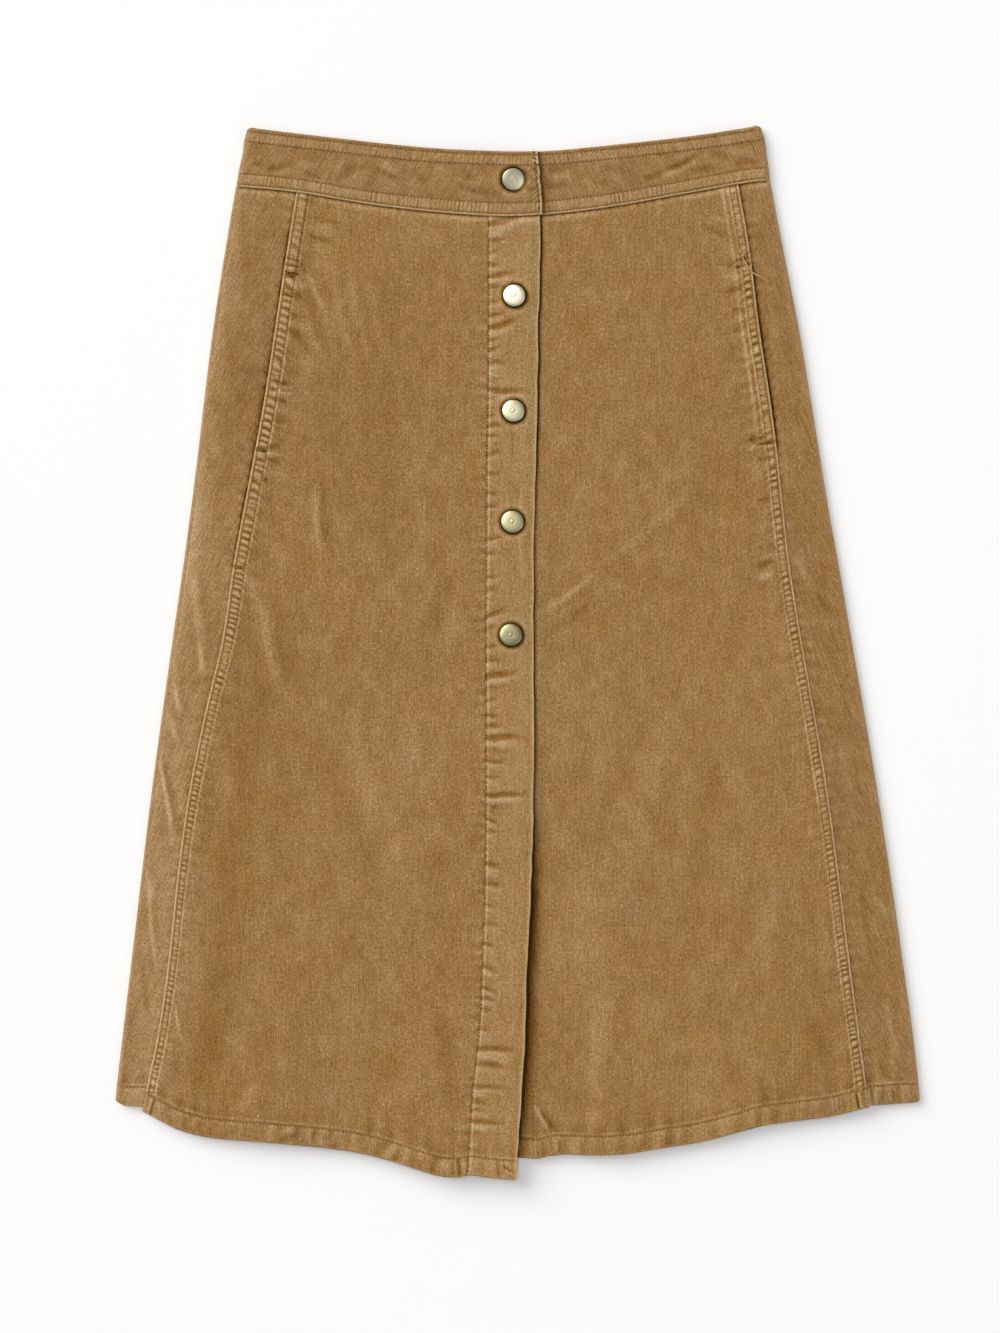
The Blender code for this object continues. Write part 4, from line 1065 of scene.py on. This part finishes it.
def buildPlacketRight(name, side, material, seed):
    shares, offsets = spread(placketGrid["seam"], placketGrid["between"], placketGrid["edge"])
    x, y, w, h = laidGrid(placketSeam, placketEdge, shares, offsets, belowBand, hems[side], placketGrid["rows"])
    # Distances: w from the band, h from the hem's edge, p from the seam and d from the free edge
    p = x - placketSeam(y)
    d = placketEdge(y) - x
    relief = np.zeros(x.shape)
    for level, reach, rise, halfWidth, depth in placketCreases:
        t = p / reach
        middle = level + rise * np.clip(t, 0, 1) ** 1.4
        fade = mix(*placketDepth, over(level, -240, 200)) * depth * (1 - ease(1.3 * t - 0.3))
        middle = middle + 0.7 * softNoise(p, level, 6, seed + 31)
        relief += fade * groove(y - middle, 0.75 * halfWidth * (1 + 0.5 * t))
        relief -= 0.5 * fade * groove(y - middle + 1.9 * halfWidth, 1.1 * halfWidth)
    puckers = np.exp(-p / 3.2) * ripples(y + 0.25 * p, p, 4.6, seed)
    endHeight, wearAndShading = atEnds(x, w, h, seed + 4, seed + 6, 0.45)
    relief += creases(x, y, placketFolds) + endHeight + 0.7 * rumples(x, y, seed + 7) + snapDip(x, y)
    relief += 0.34 * puckers + ridges(p, ((0.5, 0.8, -0.1), (2.2, 1, 0.25))) + 0.15 * (1 - ease(p / 20))
    relief += ridges(d, ((1, 1.1, 0.16), (4, 1.8, -0.1)))
    snapped = over(y, -90, 80)
    # colour: painted shade at the seam and painted light on the ridge beside it, painted shade round the caps,
    # painted light on the free edge and on the slope where it droops
    uneven = 2.8 + 0.8 * softNoise(y, 0, 14, seed + 12)
    wearAndShading += ridges(p, ((0.3, 0.6, -0.15), (1.8, 0.8, 0.4))) - snapShade(x, y)
    wearAndShading += ridges(d, ((0.35, 0.6, uneven), (4.5, 3, 0.25 * snapped))) + ridgeWearAndHollowShade(relief, (5, 6))
    z = overFace(x, y) - 1.1 * snapped * (1 - ease(d / 9))
    drop = rounding(np.minimum(d, h), foldRadius["hem"])
    relief = relief * ease(d / 1.2 + 0.15) * ease(h / 1.2)
    return panel(name, x, y, z, relief, drop, 2 * cloth["wall"], wearAndShading, placketGrid["step"], material)


underGrid = {"between": 22, "rows": 330, "step": 4}


def buildPlacketLeft(name, side, material, seed):
    shares, offsets = spread(edgeRows[:5], underGrid["between"], [0])
    x, y, _, h = laidGrid(underEdge, underSeam, shares, offsets, belowBand, hems[side], underGrid["rows"])
    d = x - underEdge(y)
    relief, wearAndShading = hemRelief(h, x, seed)
    # painted shade and light beside the upper placket's edge, and painted light on the fold at its seam where
    # it hangs free
    wearAndShading += besidePlacket(x - placketEdge(y), y) + 0.2 * groove(underSeam(y) - x - 0.8, 0.8) * hangsFree(y)
    wearAndShading += ridgeWearAndHollowShade(relief)
    drop = rounding(np.minimum(d, h), foldRadius["hem"])
    relief = relief * ease(h / 1.2) * ease(d / 1.5)
    wall = 2 * cloth["wall"]
    return panel(name, x, y, underFace(x, y), relief, drop, wall, wearAndShading, underGrid["step"], material)


# Back panel, flat on the ground: its outer face is the underside
backGrid = {"columns": 110, "rows": 165, "step": 3}


def buildBack(name, side, material, seed):
    half = cloth["seamGap"] / 2
    right, left = (lambda y: seams[-1](y) + half), (lambda y: seams[1](y) - half)
    shares = np.linspace(0, 1, backGrid["columns"])
    x, y, _, h = laidGrid(right, left, shares, 0 * shares, belowBand, backHem, backGrid["rows"])
    drop = rounding(h, foldRadius["hem"])
    fromSeam = np.minimum(x - seams[-1](y), seams[1](y) - x)
    dent = 0.3 * groove(h - cloth["hemStitch"], 1.6) + 0.3 * groove(fromSeam - 1.5, 1.5)
    # pale at the hem's edge, painted shade in the dents
    wearAndShading = 0.5 * groove(h, 1) - 1.2 * dent
    return panel(name, x, y, 0 * x, dent, -drop, -wallAt(h), wearAndShading, backGrid["step"], material)


bag = {"radius": 1.15, "ease": 0.5, "inset": 1.5, "rows": 90, "columns": 26, "turns": 8, "step": 2}


def buildBag(name, side, material, seed):
    face = underFace if side > 0 else overFace
    wall, radius = cloth["bagWall"], bag["radius"]
    y = np.linspace(bagShape[0][0], bagShape[-1][0], bag["rows"])[None, :]
    start = seams[side](y) - side * bag["inset"]
    end = start - side * (bagReach(y) - radius)

    def upper(x):
        return face(x, y + 0 * x) - cloth["wall"] - cloth["gap"] - bag["ease"]

    x = mix(start, end, np.linspace(0, 1, bag["columns"])[:, None])
    turn = (pi / 2 - pi * np.arange(1, bag["turns"]) / bag["turns"])[:, None]
    layers = []
    for reach, top, bottom in ((radius, 0, 2 * radius), (radius - wall, wall, 2 * radius - wall)):
        bend = end - side * reach * np.cos(turn)
        layers.append(np.concatenate([
            grid3(x, y + 0 * x, upper(x) - top),
            grid3(bend, y + 0 * bend, upper(end) - radius + reach * np.sin(turn)),
            grid3(x[::-1], y + 0 * x, upper(x[::-1]) - bottom),
        ]))
    outer, inner = layers
    plain = np.zeros(outer.shape[:2])
    uv = grainUv(outer[..., 0], outer[..., 1], 0)
    return shell(name, outer, inner, uv, plain, bag["step"], material)


def buildCap(name, x0, y0, z0, leanX, leanY, dullAndShade, material):
    profile, steps = snaps["profile"], snaps["steps"]
    angles = 2 * pi * np.arange(steps) / steps
    local = [(0, 0, 0)]
    for radius, height in profile:
        local += [(radius * cos(a), radius * sin(a), height) for a in angles]
    local.append((0, 0, snaps["crown"]))
    tiltX, tiltY = leanX * pi / 180, leanY * pi / 180
    points = [(x0 + x + tiltX * z, y0 + y + tiltY * z, z0 + z - tiltX * x - tiltY * y) for x, y, z in local]
    corners, sizes = [], []
    top = 1 + (len(profile) - 1) * steps
    for i in range(steps):
        j = (i + 1) % steps
        corners += [0, 1 + j, 1 + i]
        for base in range(1, top, steps):
            corners += [base + i, base + j, base + j + steps, base + i + steps]
        corners += [top + i, top + j, len(points) - 1]
        sizes += [3] + [4] * (len(profile) - 1) + [3]
    uv = np.array([(x, y) for x, y, z in local])
    wearAndShading = np.full(len(points), dullAndShade)
    return makeMesh(name, points, np.array(corners), np.array(sizes, np.int32), uv, wearAndShading, material)


# Materials
def connect(tree, value, socket):
    if isinstance(value, bpy.types.NodeSocket):
        tree.links.new(value, socket)
    else:
        socket.default_value = value


def feed(tree, node, **sockets):  # values or other nodes' outputs for its named inputs
    for name, value in sockets.items():
        connect(tree, value, node.inputs[name.replace("_", " ")])


def addNode(tree, kind, **sockets):
    node = tree.nodes.new(kind)
    feed(tree, node, **sockets)
    return node


def maths(tree, operation, *values):
    node = tree.nodes.new("ShaderNodeMath")
    node.operation = operation
    for value, socket in zip(values, node.inputs):
        connect(tree, value, socket)
    return node.outputs[0]


def plus(tree, value, weight, total):  # value times weight, plus total
    return maths(tree, "MULTIPLY_ADD", value, weight, total)


def around(tree, value, weight, total):  # total plus weight times what value has over a half
    return plus(tree, maths(tree, "SUBTRACT", value, 0.5), weight, total)


def noiseAt(tree, vector, scale, detail, roughness=0.5):
    noise = addNode(tree, "ShaderNodeTexNoise", Vector=vector, Scale=scale, Detail=detail, Roughness=roughness)
    return noise.outputs["Fac"]


def scaled(tree, vector, x, y):
    return addNode(tree, "ShaderNodeMapping", Vector=vector, Scale=(x, y, 1)).outputs["Vector"]


def colourRamp(tree, value, stops):
    ramp = tree.nodes.new("ShaderNodeValToRGB")
    elements = ramp.color_ramp.elements
    while len(elements) < len(stops):
        elements.new(0.5)
    for element, (position, colour) in zip(elements, stops):
        element.position = position
        element.color = colour
    tree.links.new(value, ramp.inputs["Fac"])
    return ramp.outputs["Color"]


def bumped(tree, height, strength, distance):
    bump = addNode(tree, "ShaderNodeBump", Strength=strength, Distance=distance, Height=height)
    return bump.outputs["Normal"]


def wearAndShadingOf(tree):
    attribute = tree.nodes.new("ShaderNodeAttribute")
    attribute.attribute_name = "wearAndShading"
    return attribute.outputs["Fac"]


def newMaterial(name):
    material = bpy.data.materials.new(name)
    material.use_nodes = True
    tree = material.node_tree
    grain = tree.nodes.new("ShaderNodeUVMap")
    grain.uv_map = "grain"
    place = tree.nodes.new("ShaderNodeTexCoord").outputs["Object"]
    return material, tree, tree.nodes["Principled BSDF"], grain.outputs["UV"], place


corduroy = {
    # scale, detail and roughness of each noise
    "wander": (38, 1),
    "streak": (560, 2),
    "fuzz": (680, 2, 0.68),
    "nap": (240, 2, 0.6),
    "mottle": (100, 4, 0.7),
    "cloud": (9, 2),
    "speck": (520, 1),
    "hue": (45, 3),
    "depth": (35, 3),
    "tones": (
        (0, (0.055, 0.023, 0.006, 1)),
        (0.2, (0.172, 0.08, 0.02, 1)),
        (0.42, (0.303, 0.163, 0.053, 1)),
        (0.74, (0.525, 0.34, 0.16, 1)),
        (1, (0.67, 0.48, 0.27, 1)),
    ),
    "middle": 0.42,  # tone of plain cloth, on those tones' scale
    "wornAndShaded": 0.24,  # how far wearing and painted light and shade move that tone
    "shader": {
        "Roughness": 0.93,
        "Sheen_Weight": 0.1,
        "Sheen_Roughness": 0.45,
        "Sheen_Tint": (0.95, 0.78, 0.52, 1),
        "Specular_IOR_Level": 0.2,
    },
    "bump": 0.55,
    "bumpDistance": 0.00045,
}


def waleGroup():
    # Fine corduroy: rounded wales that the nap half hides, its streaks along them and its fuzz
    tree = bpy.data.node_groups.new("corduroyWale", "ShaderNodeTree")
    face = tree.interface
    face.new_socket("Grain", in_out="INPUT", socket_type="NodeSocketVector")
    face.new_socket("Pitch", in_out="INPUT", socket_type="NodeSocketFloat").default_value = 0.00175
    enter = tree.nodes.new("NodeGroupInput").outputs
    grain = enter["Grain"]
    split = tree.nodes.new("ShaderNodeSeparateXYZ")
    tree.links.new(grain, split.inputs[0])
    wander = around(tree, noiseAt(tree, grain, *corduroy["wander"]), 0.0014, split.outputs["X"])
    turn = maths(tree, "DIVIDE", maths(tree, "MULTIPLY", wander, 2 * pi), enter["Pitch"])
    ridge = plus(tree, maths(tree, "COSINE", turn), 0.5, 0.5)
    streak = noiseAt(tree, scaled(tree, grain, 1, 0.14), *corduroy["streak"])
    fuzz = noiseAt(tree, scaled(tree, grain, 1, 0.85), *corduroy["fuzz"])
    height = maths(tree, "MULTIPLY", ridge, 0.22)
    for part, share in ((fuzz, 0.6), (streak, 0.3), (noiseAt(tree, grain, *corduroy["nap"]), 1.2)):
        height = plus(tree, part, share, height)
    leave = tree.nodes.new("NodeGroupOutput").inputs
    for name, value in (("Height", height), ("Ridge", ridge), ("Streak", streak), ("Fuzz", fuzz)):
        face.new_socket(name, in_out="OUTPUT", socket_type="NodeSocketFloat")
        tree.links.new(value, leave[name])
    return tree


def corduroyMaterial(name, wale, ridgeTone=0.045, streakTone=0.22, fuzzTone=0.74, lift=0, depth=1):
    material, tree, shader, grain, place = newMaterial(name)
    group = tree.nodes.new("ShaderNodeGroup")
    group.node_tree = wale
    feed(tree, group, Pitch=cloth["walePitch"] * mm, Grain=grain)
    tone = corduroy["middle"] + lift
    for source, share in (
        (group.outputs["Ridge"], ridgeTone),
        (group.outputs["Streak"], streakTone),
        (group.outputs["Fuzz"], fuzzTone),
        (noiseAt(tree, scaled(tree, grain, 1, 0.5), *corduroy["mottle"]), 0.26),
        (noiseAt(tree, place, *corduroy["cloud"]), 0.08),
    ):
        tone = around(tree, source, share, tone)
    specks = maths(tree, "SUBTRACT", noiseAt(tree, place, *corduroy["speck"]), 0.7)
    tone = plus(tree, maths(tree, "MAXIMUM", specks, 0), 2.5, tone)
    # the mask of wearing and painted light and shade lifts or lowers the tone
    wearAndShading = wearAndShadingOf(tree)
    uneven = plus(tree, group.outputs["Fuzz"], 0.8, 0.55)
    tone = plus(tree, maths(tree, "MULTIPLY", wearAndShading, uneven), corduroy["wornAndShaded"], tone)
    # more saturated where painted shade darkens the cloth, less where it is lighter
    saturation = plus(tree, maths(tree, "MINIMUM", wearAndShading, 1), -0.05, depth)
    hue = addNode(
        tree, "ShaderNodeHueSaturation",
        Color=colourRamp(tree, tone, corduroy["tones"]),
        Hue=around(tree, noiseAt(tree, place, *corduroy["hue"]), 0.012, 0.5),
        Saturation=around(tree, noiseAt(tree, place, *corduroy["depth"]), -0.12, saturation),
    )
    normal = bumped(tree, group.outputs["Height"], corduroy["bump"], corduroy["bumpDistance"])
    feed(tree, shader, Base_Color=hue.outputs["Color"], Normal=normal, **corduroy["shader"])
    return material


def plainCloth(name, colour, roughness, scale, strength):
    material, tree, shader, _, place = newMaterial(name)
    weave = noiseAt(tree, scaled(tree, place, 1, 0.35), scale, 3)
    dark = (colour[0] * 0.72, colour[1] * 0.7, colour[2] * 0.66, 1)
    light = (colour[0] * 1.2, colour[1] * 1.2, colour[2] * 1.2, 1)
    tint = colourRamp(tree, weave, ((0.3, dark), (0.7, light)))
    normal = bumped(tree, weave, strength, 0.0003)
    feed(tree, shader, Base_Color=tint, Roughness=roughness, Specular_IOR_Level=0.08, Normal=normal)
    return material


brass = {
    "light": (0.95, 0.9, 0.66, 1),
    "dullAndShade": (0.62, 0.55, 0.31, 1),
    # painted shade on the turned-down rim
    "rim": (0.035, 0.022, 0.008, 1),
    "rimShadeFrom": 0.0073,  # where the rim's painted shade begins, in metres
    "rimShadeSlope": 1900,
    "ringPitch": 0.00062,
    "cloud": (160, 2),
    "roughness": 0.36,
}


def brassMaterial(name):
    # Brushed round its middle, duller in clouds, with painted shade where it turns down at the rim
    material, tree, shader, grain, place = newMaterial(name)
    size = tree.nodes.new("ShaderNodeVectorMath")
    size.operation = "LENGTH"
    tree.links.new(grain, size.inputs[0])
    radius = size.outputs["Value"]
    cloud = noiseAt(tree, place, *brass["cloud"])
    turned = maths(tree, "MULTIPLY", maths(tree, "SUBTRACT", radius, brass["rimShadeFrom"]), brass["rimShadeSlope"])
    turned = maths(tree, "MINIMUM", maths(tree, "MAXIMUM", turned, 0), 1)
    share = plus(tree, wearAndShadingOf(tree), 0.4, around(tree, cloud, 0.25, 0.1))
    share = maths(tree, "MAXIMUM", share, turned)
    rings = maths(tree, "SINE", maths(tree, "MULTIPLY", radius, 2 * pi / brass["ringPitch"]))
    feed(
        tree, shader,
        Base_Color=colourRamp(tree, share, ((0, brass["light"]), (0.5, brass["dullAndShade"]), (0.95, brass["rim"]))),
        Metallic=1,
        Roughness=plus(tree, cloud, 0.08, brass["roughness"]),
        Normal=bumped(tree, rings, 0.05, 0.00003),
    )
    return material


wale = waleGroup()
materials = {
    "front": corduroyMaterial("corduroyFront", wale),
    "side": corduroyMaterial("corduroySide", wale, ridgeTone=0.09, streakTone=0.3, fuzzTone=0.66, depth=0.985),
    "band": corduroyMaterial("corduroyBand", wale, ridgeTone=0.15, streakTone=0.3, fuzzTone=0.58, depth=0.98),
    "placket": corduroyMaterial("corduroyPlacket", wale, lift=0.06),
    "cotton": plainCloth("pocketCotton", (0.52, 0.36, 0.19), 0.85, 900, 0.4),
    "thread": plainCloth("sewingThread", (0.37, 0.22, 0.09), 0.7, 2600, 0.3),
    "loose": plainCloth("looseThread", (0.5, 0.31, 0.145), 0.8, 2600, 0.3),
    "holeShade": plainCloth("needleHoleShade", (0.135, 0.066, 0.021), 0.95, 2600, 0.2),
    "brass": brassMaterial("antiqueBrass"),
}
print("skirt: materials made")

# Cloth pieces
# name, builder, side, material, seed, the sheet's flat width and length, its area, and what it lies on
cut = (
    ("front_right", buildFront, -1, "front", 11, 0.262, 0.72, 0.145, ["back"]),
    ("front_left", buildFront, 1, "front", 61, 0.262, 0.705, 0.145, ["back"]),
    ("side_right", buildSide, -1, "side", 111, 0.11, 0.69, 0.052, []),
    ("side_left", buildSide, 1, "side", 151, 0.11, 0.69, 0.052, []),
    ("placket_right", buildPlacketRight, -1, "placket", 201, 0.038, 0.69, None, ["placket_left"]),
    ("placket_left", buildPlacketLeft, 1, "placket", 221, 0.036, 0.675, None, ["back"]),
    ("waistband_right", buildBand, -1, "band", 241, 0.42, 0.075, 0.017, []),
    ("waistband_left", buildBand, 1, "band", 261, 0.37, 0.075, 0.015, []),
    ("back", buildBack, 0, "front", 0, 0.52, 0.69, 0.28, []),
    ("pocket_bag_right", buildBag, -1, "cotton", 0, 0.2, 0.252, 0.04, ["back"]),
    ("pocket_bag_left", buildBag, 1, "cotton", 0, 0.2, 0.252, 0.04, ["back"]),
)
pieces = {}
for name, build, side, finish, seed, width, length, area, lyingOn in cut:
    piece = build(name, side, materials[finish], seed)
    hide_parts(name)
    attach(piece, "root")
    pieces[name] = piece
print("skirt: cloth made")


# Stitches
def sewingTree():
    # Beads spaced along a path: thread between the needle's holes, or dark beads that are painted shade in
    # those holes
    tree = bpy.data.node_groups.new("sewnRow", "GeometryNodeTree")
    face = tree.interface
    face.new_socket("Row", in_out="INPUT", socket_type="NodeSocketGeometry")
    for name, value in (("Pitch", 2.4), ("Length", 1.6), ("Width", 0.6), ("Rise", 0.4), ("Shift", 0)):
        face.new_socket(name, in_out="INPUT", socket_type="NodeSocketFloat").default_value = value * mm
    face.new_socket("Seed", in_out="INPUT", socket_type="NodeSocketInt").default_value = 7
    face.new_socket("Finish", in_out="INPUT", socket_type="NodeSocketMaterial")
    face.new_socket("Beads", in_out="OUTPUT", socket_type="NodeSocketGeometry")

    def node(kind, **sockets):
        return addNode(tree, kind, **sockets)

    enter = node("NodeGroupInput").outputs
    path = node("GeometryNodeMeshToCurve", Mesh=enter["Row"])
    trim = node("GeometryNodeTrimCurve", Curve=path.outputs[0])
    trim.mode = "LENGTH"
    startAt, endAt = [s for s in trim.inputs if s.type == "VALUE"][2:4]
    tree.links.new(enter["Shift"], startAt)
    endAt.default_value = 10  # metres, longer than any row
    resample = node("GeometryNodeResampleCurve", Curve=trim.outputs[0])
    resample.mode = "LENGTH"
    feed(tree, resample, Length=enter["Pitch"])
    ball = node("GeometryNodeMeshUVSphere", Radius=0.5, Segments=6, Rings=4)
    soft = node("GeometryNodeSetShadeSmooth", Geometry=ball.outputs["Mesh"])
    size = node("ShaderNodeCombineXYZ", X=enter["Length"], Y=enter["Width"], Z=enter["Rise"])
    bead = node("GeometryNodeTransform", Geometry=soft.outputs[0], Scale=size.outputs[0])
    align = node("FunctionNodeAlignRotationToVector", Vector=node("GeometryNodeInputTangent").outputs[0])
    align.axis = "X"
    jitter = node("FunctionNodeRandomValue", Seed=enter["Seed"])
    jitter.data_type = "FLOAT"
    least, most = [s for s in jitter.inputs if s.type == "VALUE"][:2]
    least.default_value, most.default_value = 0.82, 1.12
    placed = node(
        "GeometryNodeInstanceOnPoints",
        Points=resample.outputs[0],
        Instance=bead.outputs[0],
        Rotation=align.outputs[0],
        Scale=[s for s in jitter.outputs if s.type == "VALUE"][0],
    )
    real = node("GeometryNodeRealizeInstances", Geometry=placed.outputs[0])
    finish = node("GeometryNodeSetMaterial", Geometry=real.outputs[0], Material=enter["Finish"])
    node("NodeGroupOutput", Beads=finish.outputs[0])
    return tree


def onPiece(piece, x, y, below=False):  # the points of the piece's upper face, or of its underside, at x and y
    start, way = (-10, 1) if below else (100, -1)  # height that it is sought from, and which way
    row = []
    for px, py in zip(*np.broadcast_arrays(np.asarray(x, float), np.asarray(y, float))):
        found, place, _, _ = piece.ray_cast(Vector((px, py, start)) * mm, Vector((0, 0, way)))
        if found:
            row.append(place)
    return row


def settle(temporary):  # a plain mesh of what the object shows takes its place and its name
    name = temporary.name
    evaluated = temporary.evaluated_get(bpy.context.evaluated_depsgraph_get())
    mesh = bpy.data.meshes.new_from_object(evaluated)
    bpy.data.objects.remove(temporary)
    piece = show(name, mesh)
    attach(piece, "root")


def sew(name, rows, material, **sizes):
    points, steps = [], []
    for row in rows:
        for i in range(len(row) - 1):
            if abs(row[i].z - row[i + 1].z) < 0.8 * mm:  # no bead stands up between two layers
                steps.append((len(points) + i, len(points) + i + 1))
        points += row
    mesh = bpy.data.meshes.new(name + "Rows")
    mesh.from_pydata(points, steps, [])
    path = show(name, mesh)
    modifier = path.modifiers.new("sewn", "NODES")
    modifier.node_group = sewing
    values = {"Finish": material, **{key: value * mm for key, value in sizes.items()}}
    for item in sewing.interface.items_tree:
        if item.in_out == "INPUT" and item.name in values:
            modifier[item.identifier] = values[item.name]
    settle(path)


bpy.context.view_layer.update()
sewing = sewingTree()
needle, tackStep = 1.3, 0.6  # spacing of the points that a row or a tack runs through
backRow = 1.5  # the back seams' row from the seam
upright = np.arange(328, -370, -needle)
acrossHalf = {-1: np.arange(-281, 16, needle), 1: np.arange(-2, 281, needle)}
rows = [onPiece(pieces["placket_right"], placketSeam(upright) + 0.6, upright)]
tackRows = []
for side, half in ((-1, "right"), (1, "left")):
    front, sidePiece, bandPiece = (pieces[f"{part}_{half}"] for part in ("front", "side", "waistband"))
    seamLine, hemLine, sideHem, across = seams[side], hems[side], sideHems[side], acrossHalf[side]
    aboveHem = upright[upright > hemLine(seamLine(upright)) + cloth["hemStitch"]]
    for offset in (seam["outerRow"], innerRowAt(aboveHem, side)):
        rows.append(onPiece(front, seamLine(aboveHem) - side * offset, aboveHem))
    rows.append(onPiece(front, across, hemLine(across) + cloth["hemStitch"]))
    free = across[side * (across - seamLine(sideHem(across))) > 0]
    rows.append(onPiece(sidePiece, free, sideHem(free) + cloth["hemStitch"]))
    for line, offset in (
        (topEdge, -band["topRow"]), (topEdge, -band["secondRow"]),
        (waistSeam, band["lowerRow"]), (waistSeam, band["edgeRow"]),
    ):
        rows += [onPiece(bandPiece, across, line(across) + offset, below) for below in (False, True)]
    rows.append(onPiece(pieces["back"], across, backHem(across) + cloth["hemStitch"], True))
    rows.append(onPiece(pieces["back"], seamLine(aboveHem) - side * backRow, aboveHem, True))
    for level, reach, _ in seam["tacks"][side]:
        out = np.arange(tackStep, reach, tackStep)
        tackRows += [onPiece(front, seamLine(level) - side * out, level + step) for step in (-0.7, 0, 0.7)]
placketAcross = np.arange(-40, 12, needle)
for side, name in ((-1, "placket_right"), (1, "placket_left")):
    rows.append(onPiece(pieces[name], placketAcross, hems[side](placketAcross) + cloth["hemStitch"]))
bandUp = np.arange(306, 349, needle)
endRow = onPiece(pieces["waistband_right"], bandEnd(bandUp) - band["endRow"], bandUp)
rows = [row for row in rows if len(row) > 1]
sew("stitch_thread", rows, materials["thread"], Pitch=2.4, Length=1.7, Width=0.6, Rise=0.45, Shift=1.2)
# dark beads: painted shade in the needle's holes
sew("stitch_hole_shade", rows[1:], materials["holeShade"], Pitch=2.4, Length=1.15, Width=1.25, Rise=0.44, Shift=0)
sew("placket_hole_shade", rows[:1], materials["holeShade"], Pitch=2.4, Length=1.4, Width=0.95, Rise=0.46, Shift=0)
sew("end_hole_shade", [endRow], materials["holeShade"], Pitch=2.2, Length=1.4, Width=1.3, Rise=0.5, Shift=0)
sew("end_thread", [endRow], materials["thread"], Pitch=2.2, Length=1.2, Width=0.6, Rise=0.5, Shift=1.1)
sew("bar_tacks", tackRows, materials["thread"], Pitch=0.8, Length=0.9, Width=0.6, Rise=0.5, Shift=0)
looseEnds = {  # radius, then x, y and height over the cloth
    "loose_thread": (0.55, (
        (154.9, 281, 0.4), (157.4, 275, 0.9), (160.6, 269.6, 1.1), (163.8, 265.4, 1.2), (169.4, 262.4, 2.6),
        (175.6, 258.4, 1.4),
    )),
    "loose_loop": (0.26, (
        (23, -338, 0.4), (21.6, -342.5, 0.9), (23, -347.5, 1.1), (26.4, -348.6, 0.9), (28.2, -345, 0.8),
        (27, -341, 0.3),
    )),
}
for name, (radius, places) in looseEnds.items():
    curve = bpy.data.curves.new(name, "CURVE")
    curve.dimensions = "3D"
    curve.bevel_depth = radius * mm
    curve.bevel_resolution = 2
    curve.use_fill_caps = True
    spline = curve.splines.new("BEZIER")
    spline.bezier_points.add(len(places) - 1)
    for point, (x, y, lift) in zip(spline.bezier_points, places):
        ground = onPiece(pieces["front_left"], [x], [y]) or onPiece(pieces["side_left"], [x], [y])
        point.co = ground[0] + Vector((0, 0, lift * mm))
        point.handle_left_type = point.handle_right_type = "AUTO"
    curve.materials.append(materials["loose"])
    settle(show(name, curve))
print("skirt: stitches made")

# Snaps
for number, (x, y, leanX, leanY, dullAndShade) in enumerate(snaps["places"], start=1):
    inBand = y > float(waistSeam(x))
    heights = []
    for dx, dy in ((0, 0), (0, -1), (0, 1), (-1, 0), (1, 0)):
        at = (x + snaps["reach"] * dx, y + snaps["reach"] * dy)
        heights.append(float(bandFace(*at, -1) if inBand else overFace(*at)))
    seat = max(heights) + cloth["gap"]
    cap = buildCap(f"snap_cap_{number}_dome", x, y, seat, leanX, leanY, dullAndShade, materials["brass"])
    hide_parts(f"snap_cap_{number}")
    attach(cap, "root")
for name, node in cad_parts.items():
    if name.startswith(("snap_socket", "snap_stud")):
        node.data.materials.clear()
        node.data.materials.append(materials["brass"])
print("skirt: snaps made")

# Studio
studio = {
    "centre": (-0.0126, -0.01015),
    "frameHeight": 0.9331,
    "distance": 6,
    "sensor": 24,
    "floorSize": 6,
    "floorDepth": -0.0003,
    "world": 0.232,
    # name, place, diameter, watts, on the cloth, in the metal
    "lamps": (
        ("key", (-9.9, 7.2, 9.4), 13.4, 1960, True, True),
        ("top", (-0.3, 0.2, 12), 4.5, 513, True, False),
        ("side", (4.6, -2.4, 5.2), 3, 36, True, True),
        ("gleam", (4.6, -2.4, 5.2), 3, 34, False, True),
        ("glow", (-2.4, 1.7, 12), 9, 150, False, True),
    ),
}


def buildStudio():
    mesh = bpy.data.meshes.new("floor")
    half = studio["floorSize"] / 2
    z = studio["floorDepth"]
    corners = [(-half, -half, z), (half, -half, z), (half, half, z), (-half, half, z)]
    mesh.from_pydata(corners, [], [(0, 1, 2, 3)])
    material = bpy.data.materials.new("paleFloor")
    material.use_nodes = True
    tree = material.node_tree
    shader = tree.nodes["Principled BSDF"]
    feed(tree, shader, Base_Color=(0.93, 0.93, 0.93, 1), Roughness=0.9, Specular_IOR_Level=0.1)
    mesh.materials.append(material)
    show("floor", mesh)

    camera = bpy.data.cameras.new("overhead")
    camera.sensor_fit = "VERTICAL"
    camera.sensor_height = studio["sensor"]
    camera.lens = studio["sensor"] * studio["distance"] / studio["frameHeight"]
    camera.clip_end = 100
    view = show("overhead", camera)
    view.location = (*studio["centre"], studio["distance"])
    bpy.context.scene.camera = view

    for name, place, size, power, onCloth, inMetal in studio["lamps"]:
        lamp = bpy.data.lights.new(name, "AREA")
        lamp.shape = "DISK"
        lamp.size = size
        lamp.energy = power
        obj = show(name, lamp)
        obj.location = place
        obj.rotation_euler = (-Vector(place)).to_track_quat("-Z", "Y").to_euler()
        obj.visible_diffuse = onCloth
        obj.visible_glossy = inMetal

    world = bpy.data.worlds.new("studio")
    world.use_nodes = True
    tree = world.node_tree
    feed(tree, tree.nodes["Background"], Color=(1, 1, 1, 1), Strength=studio["world"])
    bpy.context.scene.world = world
    bpy.context.scene.view_settings.view_transform = "Standard"


buildStudio()
print("skirt: studio made")
